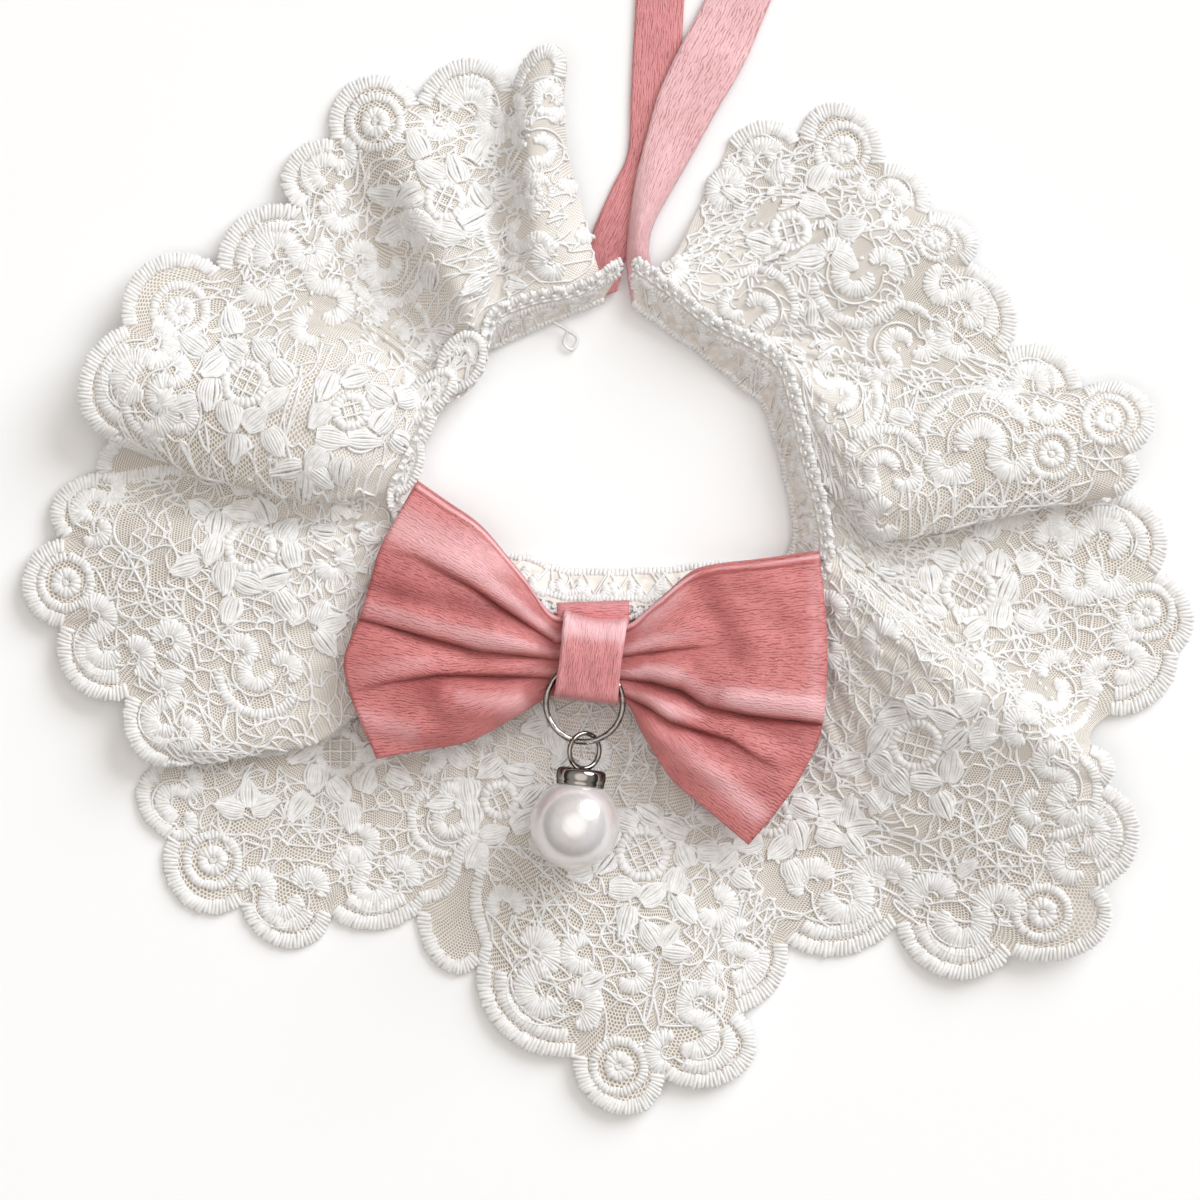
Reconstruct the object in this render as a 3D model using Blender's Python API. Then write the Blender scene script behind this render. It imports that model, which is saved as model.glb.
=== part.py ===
"""A gathered lace ruffle collar for a small pet, lying flat.

The open collar has a leaning neck band, one deep scalloped lace ruffle gathered on it, two ribbon
ties at its open ends, and at the front a pleated satin bow with a wrap that holds a split ring, a
link, a cap and a pearl. +Z is up, +Y points from the bow to the opening, all tables are in mm.
"""
import math

import bmesh
import bpy
import numpy as np
from mathutils import Matrix

MM = 0.001
BAND_WALL = 1.2
LACE_WALL = 1.2
SATIN_WALL = 1.3
WRAP_WALL = 1.2
TIE_WALL = 1.0
SEAM_GAP = 0.3
STEPS_PER_SCALLOP = 6
LACE_ROWS = (0.0, 0.07, 0.17, 0.3, 0.44, 0.58, 0.71, 0.83, 0.92, 1.0)
REST_SNAP = 0.22
NORMAL_EASING = 3
SCALLOP_FROM = 0.6
GATHER_HEIGHT = 0.55
GATHERS_PER_SCALLOP = 1
GATHERS_TO = 0.5
STEEP_FOLDS_AT = (8.6, 12.8, 27.5, 32.4, 37.4)

RING_CENTRE = (-3.1, -20.5)
RING_RADIUS = 7.65
RING_WIRE = 0.62
RING_HEIGHT = 13.3
LINK_RADIUS = 3.5
LINK_WIRE = 0.5
LINK_TILT_DEG = 42.0
LINK_BELOW_RING = 1.8
PENDANT_LEAN_DEG = 7.4
PEARL_RADIUS = 9.1
PEARL_BELOW_LINK = 14.7

# the band runs clockwise from the right open end, each row a cross section from top edge to foot
BAND = (
    # top_x, top_y, top_z, foot_x, foot_y, foot_z
    (6.6, 66.4, 7.6, 6.8, 58.8, 2.8),
    (12.8, 62.2, 7.6, 11.8, 55.2, 2),
    (22, 55, 7.6, 20.4, 49.2, 0.9),
    (30.6, 50.6, 7.6, 27.6, 43.4, 0.9),
    (36, 46.4, 7.8, 32.8, 39, 0.9),
    (38.8, 37.6, 7.8, 35, 33.2, 0.9),
    (41, 28, 7.8, 37.4, 24.4, 0.9),
    (43.6, 18, 7.6, 38.8, 17.6, 0.9),
    (44.4, 9, 7, 38.8, 11, 0.9),
    (40, 2.4, 5.6, 35, 7, 0.9),
    (27, -0.6, 5.2, 26, 7.4, 0.9),
    (12, -1.4, 5, 12.4, 6, 0.9),
    (1, -1.4, 5, 1, 5.6, 0.9),
    (-9, -0.8, 5, -7.6, 6, 0.9),
    (-17, 1.6, 5.2, -13.4, 8, 0.9),
    (-26.4, 5.6, 5.6, -22.4, 10, 0.9),
    (-35, 12, 6.4, -30.8, 14.4, 0.9),
    (-40.8, 19.6, 7.4, -39.6, 18.8, 0.9),
    (-38.4, 26.8, 8.2, -38.2, 26, 0.9),
    (-35.2, 32.8, 8.4, -35.4, 32, 0.9),
    (-31.4, 39.2, 8.4, -32, 39.2, 0.9),
    (-27.2, 41.8, 8, -28, 42, 0.9),
    (-23.8, 46, 8, -24.8, 45.6, 0.9),
    (-22.6, 51.6, 8, -23.4, 50, 0.9),
    (-20.6, 56.4, 7.8, -20.8, 51, 0.9),
    (-13.6, 59.4, 7.8, -16, 53.2, 0.9),
    (-3.8, 61.6, 7.8, -6.8, 57.2, 2),
    (4.2, 66.4, 7.8, 0, 59.6, 2.8),
)

# the scalloped edge of the lace, clockwise; every scallop ends where the next one starts
SCALLOPS = (
    # kind, start_x, start_y, start_z, tip_x, tip_y, tip_z
    ("join", 26, 91.8, 0.8, 33.6, 95.8, 0.8),
    ("flower", 40, 92.6, 0.8, 49.2, 99.2, 0.8),
    ("scroll", 56.8, 87.2, 0.8, 64, 84.4, 1),
    ("flower", 65.6, 77.4, 2.6, 74.4, 73.6, 4.2),
    ("scroll", 73.8, 67.2, 3.4, 82.4, 59.4, 2.4),
    ("scroll", 81, 49.6, 1.4, 91, 50, 1.6),
    ("flower", 96.2, 42.6, 3, 109.2, 40, 8),
    ("join", 105.6, 29.2, 9, 107, 24.4, 8.4),
    ("join", 102.6, 20.2, 6.6, 98, 23.8, 4.2),
    ("scroll", 96, 21.2, 2, 110.4, 18, 1.6),
    ("flower", 111.8, 5.8, 1.2, 118.4, -2.4, 1.2),
    ("scroll", 115.4, -10.6, 1.2, 112, -19.4, 1.2),
    ("join", 102.4, -23, 1.6, 98.4, -26.2, 3.2),
    ("join", 98, -28.6, 9, 102, -32.4, 11.5),
    ("scroll", 100.8, -36.8, 10.5, 107.2, -47, 9.5),
    ("flower", 99.8, -57.2, 7.6, 98.8, -68.8, 5.4),
    ("scroll", 82, -70.8, 3.8, 69.2, -75.4, 2.2),
    ("scroll", 59.2, -65.2, 0.8, 48.4, -71, 0.6),
    ("scroll", 37.4, -68.8, 0.6, 35.6, -77, 0.8),
    ("scroll", 27.8, -82.4, 1.8, 28.4, -94.4, 2.2),
    ("flower", 12.8, -95.4, 2.4, 3.2, -102.6, 2.4),
    ("scroll", -5.4, -91.2, 2.2, -20, -86.2, 1.8),
    ("join", -24.4, -72.8, 1.2, -31.8, -73.6, 0.8),
    ("join", -36.4, -62.6, 0.6, -45.4, -66, 0.6),
    ("scroll", -53.8, -63.2, 0.6, -62.6, -69.6, 0.6),
    ("flower", -71.8, -61, 0.6, -83.6, -60.4, 0.6),
    ("scroll", -86.4, -47.6, 0.6, -92.6, -40.2, 0.8),
    ("join", -90.2, -33.8, 0.7, -83.6, -30, 3),
    ("scroll", -87.2, -33.6, 4.4, -93.8, -28.2, 6.4),
    ("scroll", -94.2, -19.4, 4.8, -105.4, -16.8, 3.6),
    ("flower", -107.6, -5.4, 2.8, -115.4, 3, 2.4),
    ("scroll", -107.6, 12.2, 2.4, -109, 20.2, 1.8),
    ("join", -100.4, 25.2, 1.8, -100, 28.4, 4.2),
    ("scroll", -97.4, 31.6, 8.2, -103.6, 42.8, 11),
    ("flower", -94.8, 54.6, 8, -89.8, 67.4, 5.8),
    ("scroll", -76.2, 66.4, 4, -71.4, 76.6, 3.2),
    ("scroll", -60.2, 78.4, 2.6, -63, 86.6, 2),
    ("flower", -53.6, 92, 1.2, -48.2, 104.2, 1.2),
    ("scroll", -36.4, 99.6, 1, -27, 108.2, 0.8),
    ("join", -17.6, 102.4, 1.6, -10.8, 111, 7),
    ("end", -6.8, 104.8, 5.4, -6.8, 104.8, 5.4),
)

# the folds of the lace: where each meets the scallops (by number) and the band (by row number),
# and its points at one third and two thirds of the way from the band to the edge
FOLDS = (
    # scallop_at, neck_at, neck_rise, inner_x, inner_y, inner_z, outer_x, outer_y, outer_z
    (0, 1.6, 0, 15.6, 70, 3.2, 21, 81, 1.2),
    (1.5, 2.15, 0, 27, 71.4, 3.4, 39.4, 82, 1.4),
    (2, 2.4, 0, 31.2, 70, 3.4, 43.6, 80, 1.6),
    (2.6, 2.7, 0, 35, 68.4, 4.8, 49.2, 76, 4),
    (3.1, 2.95, 0, 36.6, 66.4, 7.6, 51.6, 72.4, 7.4),
    (3.6, 3.2, 0, 39.4, 62.4, 8.2, 56, 67.6, 7.2),
    (4.3, 3.7, 0, 43.6, 56.8, 6.4, 61, 60, 5.2),
    (5, 4.15, 0, 48, 51, 4.8, 64.4, 51, 3.2),
    (6, 4.9, 0, 50.4, 42.4, 4.4, 71.6, 43, 3.2),
    (6.35, 5.2, 0, 50.4, 38.4, 9.6, 73, 40.2, 9.6),
    (7, 5.9, 0.8, 53.6, 30, 13, 77, 32, 12.4),
    (7.6, 6.7, 1, 56.4, 20, 12.6, 80, 23.2, 11.6),
    (8, 7.35, 0.6, 56.8, 12.8, 8.6, 78.4, 16, 7.8),
    (8.5, 7.65, -0.2, 56.8, 12.4, 5.2, 76, 19, 4.4),
    (9, 7.9, -1, 59.2, 10.2, 2.8, 78, 17, 2),
    (9.6, 8.2, -1.2, 61.2, 6.8, 2.6, 82.4, 11.6, 1.8),
    (10.3, 8.45, -1.2, 63.6, 2, 3.2, 87.6, 2.8, 2.2),
    (11.2, 8.7, -1, 65.2, -3.2, 3.8, 88.8, -7.2, 2.4),
    (12, 8.9, -0.6, 66, -6.8, 5, 84.8, -15.2, 3.4),
    (12.6, 9.05, 0.4, 67.2, -8.4, 10, 84, -18, 9),
    (13, 9.2, 1, 68, -10, 14.4, 84.4, -20, 14.2),
    (13.5, 9.4, 1, 66.8, -13.2, 16, 83.2, -23.6, 15),
    (14.3, 9.7, 0.6, 62.4, -20, 13.2, 81.6, -32.4, 12),
    (15, 9.95, 0, 57.2, -25.6, 9, 76.8, -41.6, 8.2),
    (16, 10.3, 0, 49.2, -30.4, 4.4, 66, -51.2, 4),
    (17, 10.7, 0, 40, -32.8, 1.8, 51, -51.2, 0.8),
    (18, 11.1, 0, 29.6, -33.2, 2, 34, -53.2, 0.8),
    (19, 11.5, 0, 20.8, -34.4, 2.4, 22.8, -61.2, 2.2),
    (20, 11.95, 0, 10.8, -36, 2.4, 12.4, -67.2, 4),
    (21, 12.9, 0, -0.4, -36, 2.4, -1.6, -67.2, 4),
    (22, 14, 0, -15.2, -32.4, 2.4, -19.2, -53.6, 2.8),
    (23, 14.9, 0, -25.2, -27.2, 1.8, -31.6, -48.4, 0.8),
    (24, 15.4, 0, -33.6, -22.4, 1.6, -44.8, -43.2, 0.7),
    (25, 15.85, -0.6, -40.8, -20, 1.2, -57.6, -38.4, 0.7),
    (26, 16.25, -1, -46.4, -19.2, 0.9, -67.6, -30.4, 0.7),
    (26.6, 16.42, -1.2, -49.6, -18.8, 0.8, -72.4, -23.6, 0.8),
    (27.2, 16.58, -1, -50.4, -18, 2.7, -73.8, -22.4, 2.6),
    (27.6, 16.68, -0.5, -50, -20, 4.3, -72.8, -25.6, 4.2),
    (28, 16.8, 0.2, -49.2, -23.4, 5.4, -71.6, -31.2, 5.4),
    (28.5, 16.95, 0.8, -50.6, -19.2, 6.9, -75.6, -27.4, 7.4),
    (29, 17.05, 0.8, -52, -13.6, 7, -77.6, -19.2, 7),
    (30, 17.25, 0.5, -54.8, -2.4, 7, -82, -4.4, 7),
    (31, 17.5, 0.4, -56.8, 7.6, 7.6, -82.8, 10, 8),
    (31.4, 17.62, 0, -58.4, 11.4, 7, -82.4, 14.4, 7),
    (31.75, 17.75, -0.6, -57.6, 14.4, 3, -81.6, 18.4, 2.2),
    (32.1, 17.9, -1, -56.4, 16.8, 2.6, -80, 22, 1.8),
    (32.5, 18.05, -0.6, -56.8, 20, 4.8, -78.4, 26.4, 4),
    (33, 18.25, 0.4, -58.4, 20, 9, -80, 24.8, 8.4),
    (33.3, 18.6, 1, -57.6, 26.4, 13.4, -82, 32, 12.8),
    (33.6, 19.2, 1.2, -55.6, 36, 15.4, -80.8, 40.4, 14.8),
    (34, 20.3, 1, -51, 46.8, 12.6, -77.2, 47.6, 11.6),
    (34.4, 20.8, 0, -49.6, 51.6, 7.2, -74.4, 52.4, 7),
    (35, 21.3, 0, -47.6, 54.4, 5, -66.8, 58.8, 5.2),
    (36, 22, 0, -44.8, 55.6, 3.2, -56.4, 68.4, 3.8),
    (36.6, 22.6, -0.6, -42.4, 56.4, 1.6, -50.8, 73.6, 2.2),
    (37, 23.1, -0.8, -39.6, 58, 1, -46.8, 76.4, 0.8),
    (37.3, 23.6, 0, -36, 62.4, 4.6, -43.2, 80.8, 3.4),
    (37.6, 24.1, 1, -32.4, 67.6, 11.6, -38.4, 84.4, 7.6),
    (38, 24.5, 1, -26.8, 69.2, 12, -30.8, 86.8, 6.4),
    (38.4, 24.85, 0, -22, 69.6, 7.6, -25.2, 88, 3.4),
    (38.8, 25.2, 0, -18.8, 70.8, 3.8, -20.8, 88, 1.8),
    (39.1, 25.6, 0, -16.4, 72.4, 5.6, -18.4, 88.4, 3.8),
    (39.5, 26.4, 0, -11.6, 76, 11.4, -14, 92.4, 10.4),
    (39.8, 27.1, 0, -7.2, 78, 9, -10, 93.2, 8.6),
    (40, 27.55, 0, -4, 78.4, 5, -6.8, 91.2, 5),
)

# ridges and creases of the bow's wings, from the upper edge to the lower one
LEFT_WING = (
    # knot_x, knot_y, knot_z, middle_x, middle_y, middle_z, end_x, end_y, end_z
    (-2.8, -4.2, 9.8, -24.4, 14.6, 9.4, -36.4, 23, 8.8),
    (-2.8, -5.8, 10.4, -24.4, 8.8, 12.8, -39.2, 18.4, 11.4),
    (-2.8, -7.4, 9.8, -25.6, 2, 9.2, -43.6, 10.4, 10.6),
    (-2.8, -9, 10.4, -26.8, -2.8, 12, -45.6, 3.6, 11.2),
    (-2.8, -10.6, 9.8, -27.6, -8, 9.2, -47.4, -2.4, 9.4),
    (-2.8, -12.2, 10.4, -29.2, -12, 11.8, -49.4, -7.4, 11),
    (-2.8, -13.8, 9.8, -30.8, -16.4, 9.2, -50.8, -12.4, 9.6),
    (-2.8, -15.4, 10.4, -29.6, -21.2, 12, -49.6, -18.8, 11),
    (-2.8, -16.8, 10.2, -28, -25.2, 10.6, -46.8, -26, 10),
    (-2.8, -18.2, 9.8, -26.8, -28, 8.6, -44.4, -31.4, 8.2),
)

RIGHT_WING = (
    # knot_x, knot_y, knot_z, middle_x, middle_y, middle_z, end_x, end_y, end_z
    (-1.2, -5.8, 9.8, 20.4, 5.8, 9.4, 43.6, 9, 8.8),
    (-1.2, -7.6, 10.4, 21.2, -0.8, 13, 44.4, 1.6, 11.4),
    (-1.2, -9.4, 9.8, 22.4, -9.2, 9.4, 45, -7.2, 10),
    (-1.2, -11, 10.4, 23.6, -13.6, 12.2, 45, -14.8, 11.2),
    (-1.2, -12.8, 9.8, 23.2, -20, 9.2, 44.4, -23.2, 9.4),
    (-1.2, -14.4, 10.4, 22.4, -23.6, 11.8, 43.2, -28.4, 11),
    (-1.2, -16, 9.8, 20, -28, 9, 39.4, -35.8, 9.4),
    (-1.2, -17.8, 10.4, 17.6, -32.8, 12.2, 34.4, -42.8, 11.2),
    (-1.2, -19.6, 9.8, 14.4, -35.4, 8.8, 29.6, -48.6, 8.2),
)

# cross sections of the ribbon ties from the free end to the sewn end
LEFT_TIE = (
    # left_x, left_y, right_x, right_y, height, arch
    (3.4, 207.2, 12.8, 208.8, 0.5, 0.2),
    (7.2, 174, 17.2, 174, 0.5, 0.3),
    (8.8, 146, 18.6, 146, 0.5, 0.3),
    (7.2, 120, 16.8, 120, 0.5, 0.3),
    (6.2, 101.6, 15.8, 101.2, 0.5, 0.3),
    (5.6, 89.6, 14.4, 87.2, 0.5, 0.4),
    (2.6, 82.8, 11.6, 79.2, 0.5, 0.5),
    (-0.6, 75.6, 8.4, 72, 0.5, 0.6),
    (-2, 70.8, 4.8, 67.6, 0.5, 0.5),
    (-2.4, 65.6, 4, 64, 0.5, 0.3),
    (-3.4, 59.2, 3.4, 61.8, 1.2, 0),
)

RIGHT_TIE = (
    # left_x, left_y, right_x, right_y, height, arch
    (47.2, 204.8, 57, 202.4, 0.5, 0.2),
    (42.4, 174, 52.2, 172.4, 0.5, 0.3),
    (33.6, 146, 43.2, 142.8, 0.6, 0.4),
    (20.8, 119.6, 32.4, 115.6, 1, 0.4),
    (15.8, 110, 28.2, 106, 2, 0.5),
    (11.8, 101.2, 23.2, 97.6, 2.2, 0.6),
    (9.4, 92.8, 18.8, 89.6, 2.2, 0.9),
    (7.4, 84.8, 14.8, 82.8, 2.2, 1.6),
    (6.2, 77.2, 10.8, 75.6, 2.2, 2.2),
    (5.6, 71.2, 9.6, 70.4, 2, 1.8),
    (5.4, 66, 10.4, 65.6, 1.9, 0.6),
    (6.2, 60, 11.6, 60.8, 1.6, 0),
)

# the wrap's section on its way round the knot: along the bow's height, above the ground
WRAP_SECTION = (
    # along, height
    (-9.6, 11.0),
    (-9.3, 13.6),
    (-8.0, 14.9),
    (-3.0, 15.5),
    (3.0, 15.5),
    (8.2, 14.9),
    (9.4, 13.4),
    (10.2, 10.0),
    (10.9, 7.6),
    (9.8, 6.5),
    (4.0, 6.5),
    (-4.0, 6.5),
    (-8.8, 6.6),
    (-9.6, 7.8),
)
WRAP_CENTRE = (-1.9, -12.1)
WRAP_TILT_DEG = -7.0
WRAP_WIDTH = 12.8

# half the cap in section: distance from the axis, distance from the pearl's centre
CAP_SECTION = (
    # radius, along
    (0.0, 9.46),
    (2.4, 9.14),
    (3.8, 8.66),
    (4.6, 8.24),
    (4.9, 8.4),
    (4.9, 8.95),
    (4.5, 9.2),
    (4.5, 10.0),
    (4.9, 10.2),
    (4.9, 10.8),
    (4.5, 11.0),
    (3.7, 11.0),
    (3.3, 10.35),
    (0.0, 10.35),
)


def material(name, colour, rough, metal):
    m = bpy.data.materials.new(name)
    m.use_nodes = True
    shader = m.node_tree.nodes["Principled BSDF"]
    shader.inputs["Base Color"].default_value = (*colour, 1.0)
    shader.inputs["Roughness"].default_value = rough
    shader.inputs["Metallic"].default_value = metal
    m.diffuse_color = (*colour, 1.0)
    return m


def smooth_through(at, values, wanted):
    """Monotone cubic interpolation of rows of values, so folds keep their stated extremes."""
    at, values = np.asarray(at, float), np.asarray(values, float)
    if values.ndim == 1:
        values = values[:, None]
    wide = np.diff(at)[:, None]
    slope = np.diff(values, axis=0) / wide
    tangent = np.zeros_like(values)
    tangent[0], tangent[-1] = slope[0], slope[-1]
    before, after = slope[:-1], slope[1:]
    a, b = 2 * wide[1:] + wide[:-1], wide[1:] + 2 * wide[:-1]
    same = before * after > 0
    safe_b, safe_a = np.where(same, before, 1.0), np.where(same, after, 1.0)
    tangent[1:-1] = np.where(same, (a + b) / (a / safe_b + b / safe_a), 0.0)
    k = np.clip(np.searchsorted(at, wanted, side="right") - 1, 0, len(at) - 2)
    h = wide[k]
    t = (np.asarray(wanted, float)[:, None] - at[k][:, None]) / h
    return (
        (2 * t**3 - 3 * t**2 + 1) * values[k]
        + (t**3 - 2 * t**2 + t) * h * tangent[k]
        + (3 * t**2 - 2 * t**3) * values[k + 1]
        + (t**3 - t**2) * h * tangent[k + 1]
    )


def rounded_through(points, count):
    """Catmull-Rom curve through points, sampled evenly by row number."""
    p = np.asarray(points, float)
    p = np.vstack([2 * p[0] - p[1], p, 2 * p[-1] - p[-2]])
    at = np.linspace(0, len(p) - 3, count)
    k = np.minimum(at.astype(int), len(p) - 4)
    t = (at - k)[:, None]
    a, b, c, d = p[k], p[k + 1], p[k + 2], p[k + 3]
    return 0.5 * (
        2 * b + (c - a) * t + (2 * a - 5 * b + 4 * c - d) * t**2 + (3 * b - a - 3 * c + d) * t**3
    )


def band_rows(at):
    """Top and foot of the band at row numbers counted from 1."""
    p = np.asarray(BAND, float)
    p = np.vstack([2 * p[0] - p[1], p, 2 * p[-1] - p[-2]])
    k = np.clip(np.floor(at).astype(int), 1, len(p) - 3)
    t = (np.asarray(at, float) - k)[:, None]
    a, b, c, d = p[k - 1], p[k], p[k + 1], p[k + 2]
    return 0.5 * (
        2 * b + (c - a) * t + (2 * a - 5 * b + 4 * c - d) * t**2 + (3 * b - a - 3 * c + d) * t**3
    )


def neck_seam(at):
    """Where the lace is sewn on, just outside the top edge of the band."""
    step = 0.02
    here = band_rows(at)
    along = band_rows(np.minimum(at + step, len(BAND))) - band_rows(np.maximum(at - step, 1))
    out = np.stack([along[:, 1], -along[:, 0]], 1)
    out /= np.linalg.norm(out, axis=1)[:, None]
    away = BAND_WALL / 2 + LACE_WALL / 2 + SEAM_GAP
    seam = here[:, :3].copy()
    seam[:, :2] -= out * away
    seam[:, 2] -= 0.5
    return seam


def lace_edge(at):
    """The scalloped edge as a chord point and an outward rise; each scallop is an arc."""
    rows = np.array([r[1:] for r in SCALLOPS], float)
    k = np.clip(np.floor(at).astype(int), 0, len(rows) - 2)
    start, end, tip = rows[k, :3], rows[k + 1, :3], rows[k, 3:]
    half, rise = (end - start) / 2, tip - (start + end) / 2
    chord = np.linalg.norm(half[:, :2], axis=1)
    depth = np.abs(half[:, 0] * rise[:, 1] - half[:, 1] * rise[:, 0]) / np.maximum(chord, 1e-9)
    swing = 2 * np.arctan(np.clip(depth / np.maximum(chord, 1e-9), 0.05, 1.0))
    turn = (2 * (at - k) - 1) * swing
    along = (np.sin(turn) / np.sin(swing))[:, None]
    height = ((np.cos(turn) - np.cos(swing)) / (1 - np.cos(swing)))[:, None]
    return (start + end) / 2 + half * along, rise * height


def edge_headings(outer):
    """Unit directions in which the cloth meets its scalloped edge, one for each scallop."""
    rows = np.array([r[1:] for r in SCALLOPS], float)
    middle = (rows[:-1, :2] + rows[1:, :2]) / 2
    rise = rows[:-1, 3:5] - middle
    rise /= np.maximum(np.linalg.norm(rise, axis=1), 1e-9)[:, None]
    run = middle - outer
    run /= np.linalg.norm(run, axis=1)[:, None]
    follows = (rise * run).sum(1)[:, None] > 0.3
    heading = run + np.where(follows, 1.6 * rise, 0.0)
    return heading / np.linalg.norm(heading, axis=1)[:, None]


def lace_surface(at, rows):
    """Middle surface of the lace, indexed by place along the edge and by row."""
    folds = np.asarray(FOLDS, float)
    seam_at = smooth_through(folds[:, 0], folds[:, 1:3], at)
    neck = neck_seam(seam_at[:, 0])
    neck[:, 2] += seam_at[:, 1]
    inner = smooth_through(folds[:, 0], folds[:, 3:6], at)
    outer = smooth_through(folds[:, 0], folds[:, 6:9], at)
    base, rise = lace_edge(at)
    for part in (inner, outer, base):
        part[:, 2] = np.maximum(part[:, 2], LACE_WALL / 2)
    middles = np.arange(len(SCALLOPS) - 1) + 0.5
    headings = edge_headings(smooth_through(folds[:, 0], folds[:, 6:8], middles))
    heading = smooth_through(middles, headings, np.clip(at, middles[0], middles[-1]))
    stack = np.stack([neck, inner, outer, base])
    knots = np.array([0.0, 1 / 3, 2 / 3, 1.0])
    reach = np.linalg.norm(base[:, :2] - outer[:, :2], axis=1)[:, None]
    flat = smooth_in_plane(knots, stack[:, :, :2], heading * reach * 3, rows)
    height = smooth_through(knots, stack[:, :, 2], np.asarray(rows))
    grid = np.concatenate([flat, height[:, :, None]], 2)
    gathers = GATHER_HEIGHT * np.sin(2 * np.pi * at * GATHERS_PER_SCALLOP)
    for steep in STEEP_FOLDS_AT:
        gathers *= 1 - np.exp(-(((at - steep) / 1.1) ** 2))
    for row, r in enumerate(rows):
        if r < GATHERS_TO:
            grid[row, :, 2] += gathers * np.sin(np.pi * (r / GATHERS_TO) ** 0.7)
        grid[row] += rise * max(0.0, (r - SCALLOP_FROM) / (1 - SCALLOP_FROM)) ** 2
    return grid.transpose(1, 0, 2)


def smooth_in_plane(knots, stack, last_tangent, rows):
    """Cubic through the four stations of every fold, with plain difference tangents."""
    tangent = np.empty_like(stack)
    tangent[0] = (stack[1] - stack[0]) / (knots[1] - knots[0])
    tangent[-1] = last_tangent
    for i in range(1, len(knots) - 1):
        tangent[i] = (stack[i + 1] - stack[i - 1]) / (knots[i + 1] - knots[i - 1])
    out = []
    for r in rows:
        k = min(int(r * (len(knots) - 1)), len(knots) - 2)
        h = knots[k + 1] - knots[k]
        t = (r - knots[k]) / h
        out.append(
            (2 * t**3 - 3 * t**2 + 1) * stack[k]
            + (t**3 - 2 * t**2 + t) * h * tangent[k]
            + (3 * t**2 - 2 * t**3) * stack[k + 1]
            + (t**3 - t**2) * h * tangent[k + 1]
        )
    return np.array(out)


def grid_normals(grid, closed=False):
    """Unit normals of a grid of points, from the areas of the faces round each point."""
    after = np.roll(grid, -1, 0) if closed else grid[1:]
    here = grid if closed else grid[:-1]
    area = np.cross(after[:, 1:] - here[:, :-1], here[:, 1:] - after[:, :-1])
    total = np.zeros_like(grid)
    rows = len(area)
    total[:rows, :-1] += area
    total[:rows, 1:] += area
    if closed:
        total[:, :-1] += np.roll(area, 1, 0)
        total[:, 1:] += np.roll(area, 1, 0)
    else:
        total[1:, :-1] += area
        total[1:, 1:] += area
    for _ in range(0 if closed else NORMAL_EASING):
        unit = total / np.maximum(np.linalg.norm(total, axis=2)[:, :, None], 1e-9)
        total = unit.copy()
        total[1:] += unit[:-1]
        total[:-1] += unit[1:]
    size = np.linalg.norm(total, axis=2)[:, :, None]
    return total / np.maximum(size, 1e-9)


def wall(grid, thick, closed=False, rest=False, flip=False):
    """Closed cloth wall round a grid's middle surface: vertices and outward faces."""
    n = grid_normals(grid, closed)
    if flip:
        n = -n
    top, under = grid + n * thick / 2, grid - n * thick / 2
    if rest:
        under[:, :, 2] = np.where(under[:, :, 2] < REST_SNAP, 0.0, under[:, :, 2])
        top[:, :, 2] = np.maximum(top[:, :, 2], thick * 0.5)
    a, b = grid.shape[:2]
    verts = np.concatenate([top.reshape(-1, 3), under.reshape(-1, 3)])
    low = a * b
    faces = []
    for i in range(a if closed else a - 1):
        j = (i + 1) % a
        for k in range(b - 1):
            faces.append((i * b + k, i * b + k + 1, j * b + k + 1, j * b + k))
            faces.append((low + i * b + k, low + j * b + k, low + j * b + k + 1, low + i * b + k + 1))
        faces.append((i * b, j * b, low + j * b, low + i * b))
        faces.append((i * b + b - 1, low + i * b + b - 1, low + j * b + b - 1, j * b + b - 1))
    if not closed:
        e = (a - 1) * b
        for k in range(b - 1):
            faces.append((k, low + k, low + k + 1, k + 1))
            faces.append((e + k, e + k + 1, low + e + k + 1, low + e + k))
    return verts, faces


def torus(radius, wire, around, section):
    """A wire ring in its own x, y plane."""
    verts, faces = [], []
    for i in range(around):
        a = 2 * math.pi * i / around
        for k in range(section):
            b = 2 * math.pi * k / section
            r = radius + wire * math.cos(b)
            verts.append((r * math.cos(a), r * math.sin(a), wire * math.sin(b)))
    for i in range(around):
        j = (i + 1) % around
        for k in range(section):
            m = (k + 1) % section
            faces.append((i * section + k, j * section + k, j * section + m, i * section + m))
    return np.array(verts), faces


def lathe(profile, around):
    """A body of revolution about its own z axis; the profile starts and ends on the axis."""
    verts, faces = [], []
    rings = []
    for r, z in profile:
        if r == 0:
            rings.append([len(verts)])
            verts.append((0, 0, z))
            continue
        rings.append(list(range(len(verts), len(verts) + around)))
        for i in range(around):
            a = 2 * math.pi * i / around
            verts.append((r * math.cos(a), r * math.sin(a), z))
    for low, high in zip(rings, rings[1:]):
        for i in range(around):
            j = (i + 1) % around
            if len(low) == 1:
                faces.append((low[0], high[j], high[i]))
            elif len(high) == 1:
                faces.append((low[i], low[j], high[0]))
            else:
                faces.append((low[i], low[j], high[j], high[i]))
    return np.array(verts), faces


def rotation(axis, degrees):
    a = math.radians(degrees)
    c, s = math.cos(a), math.sin(a)
    i, j = {"x": (1, 2), "y": (2, 0), "z": (0, 1)}[axis]
    m = np.eye(3)
    m[i, i] = m[j, j] = c
    m[i, j], m[j, i] = -s, s
    return m


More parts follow.
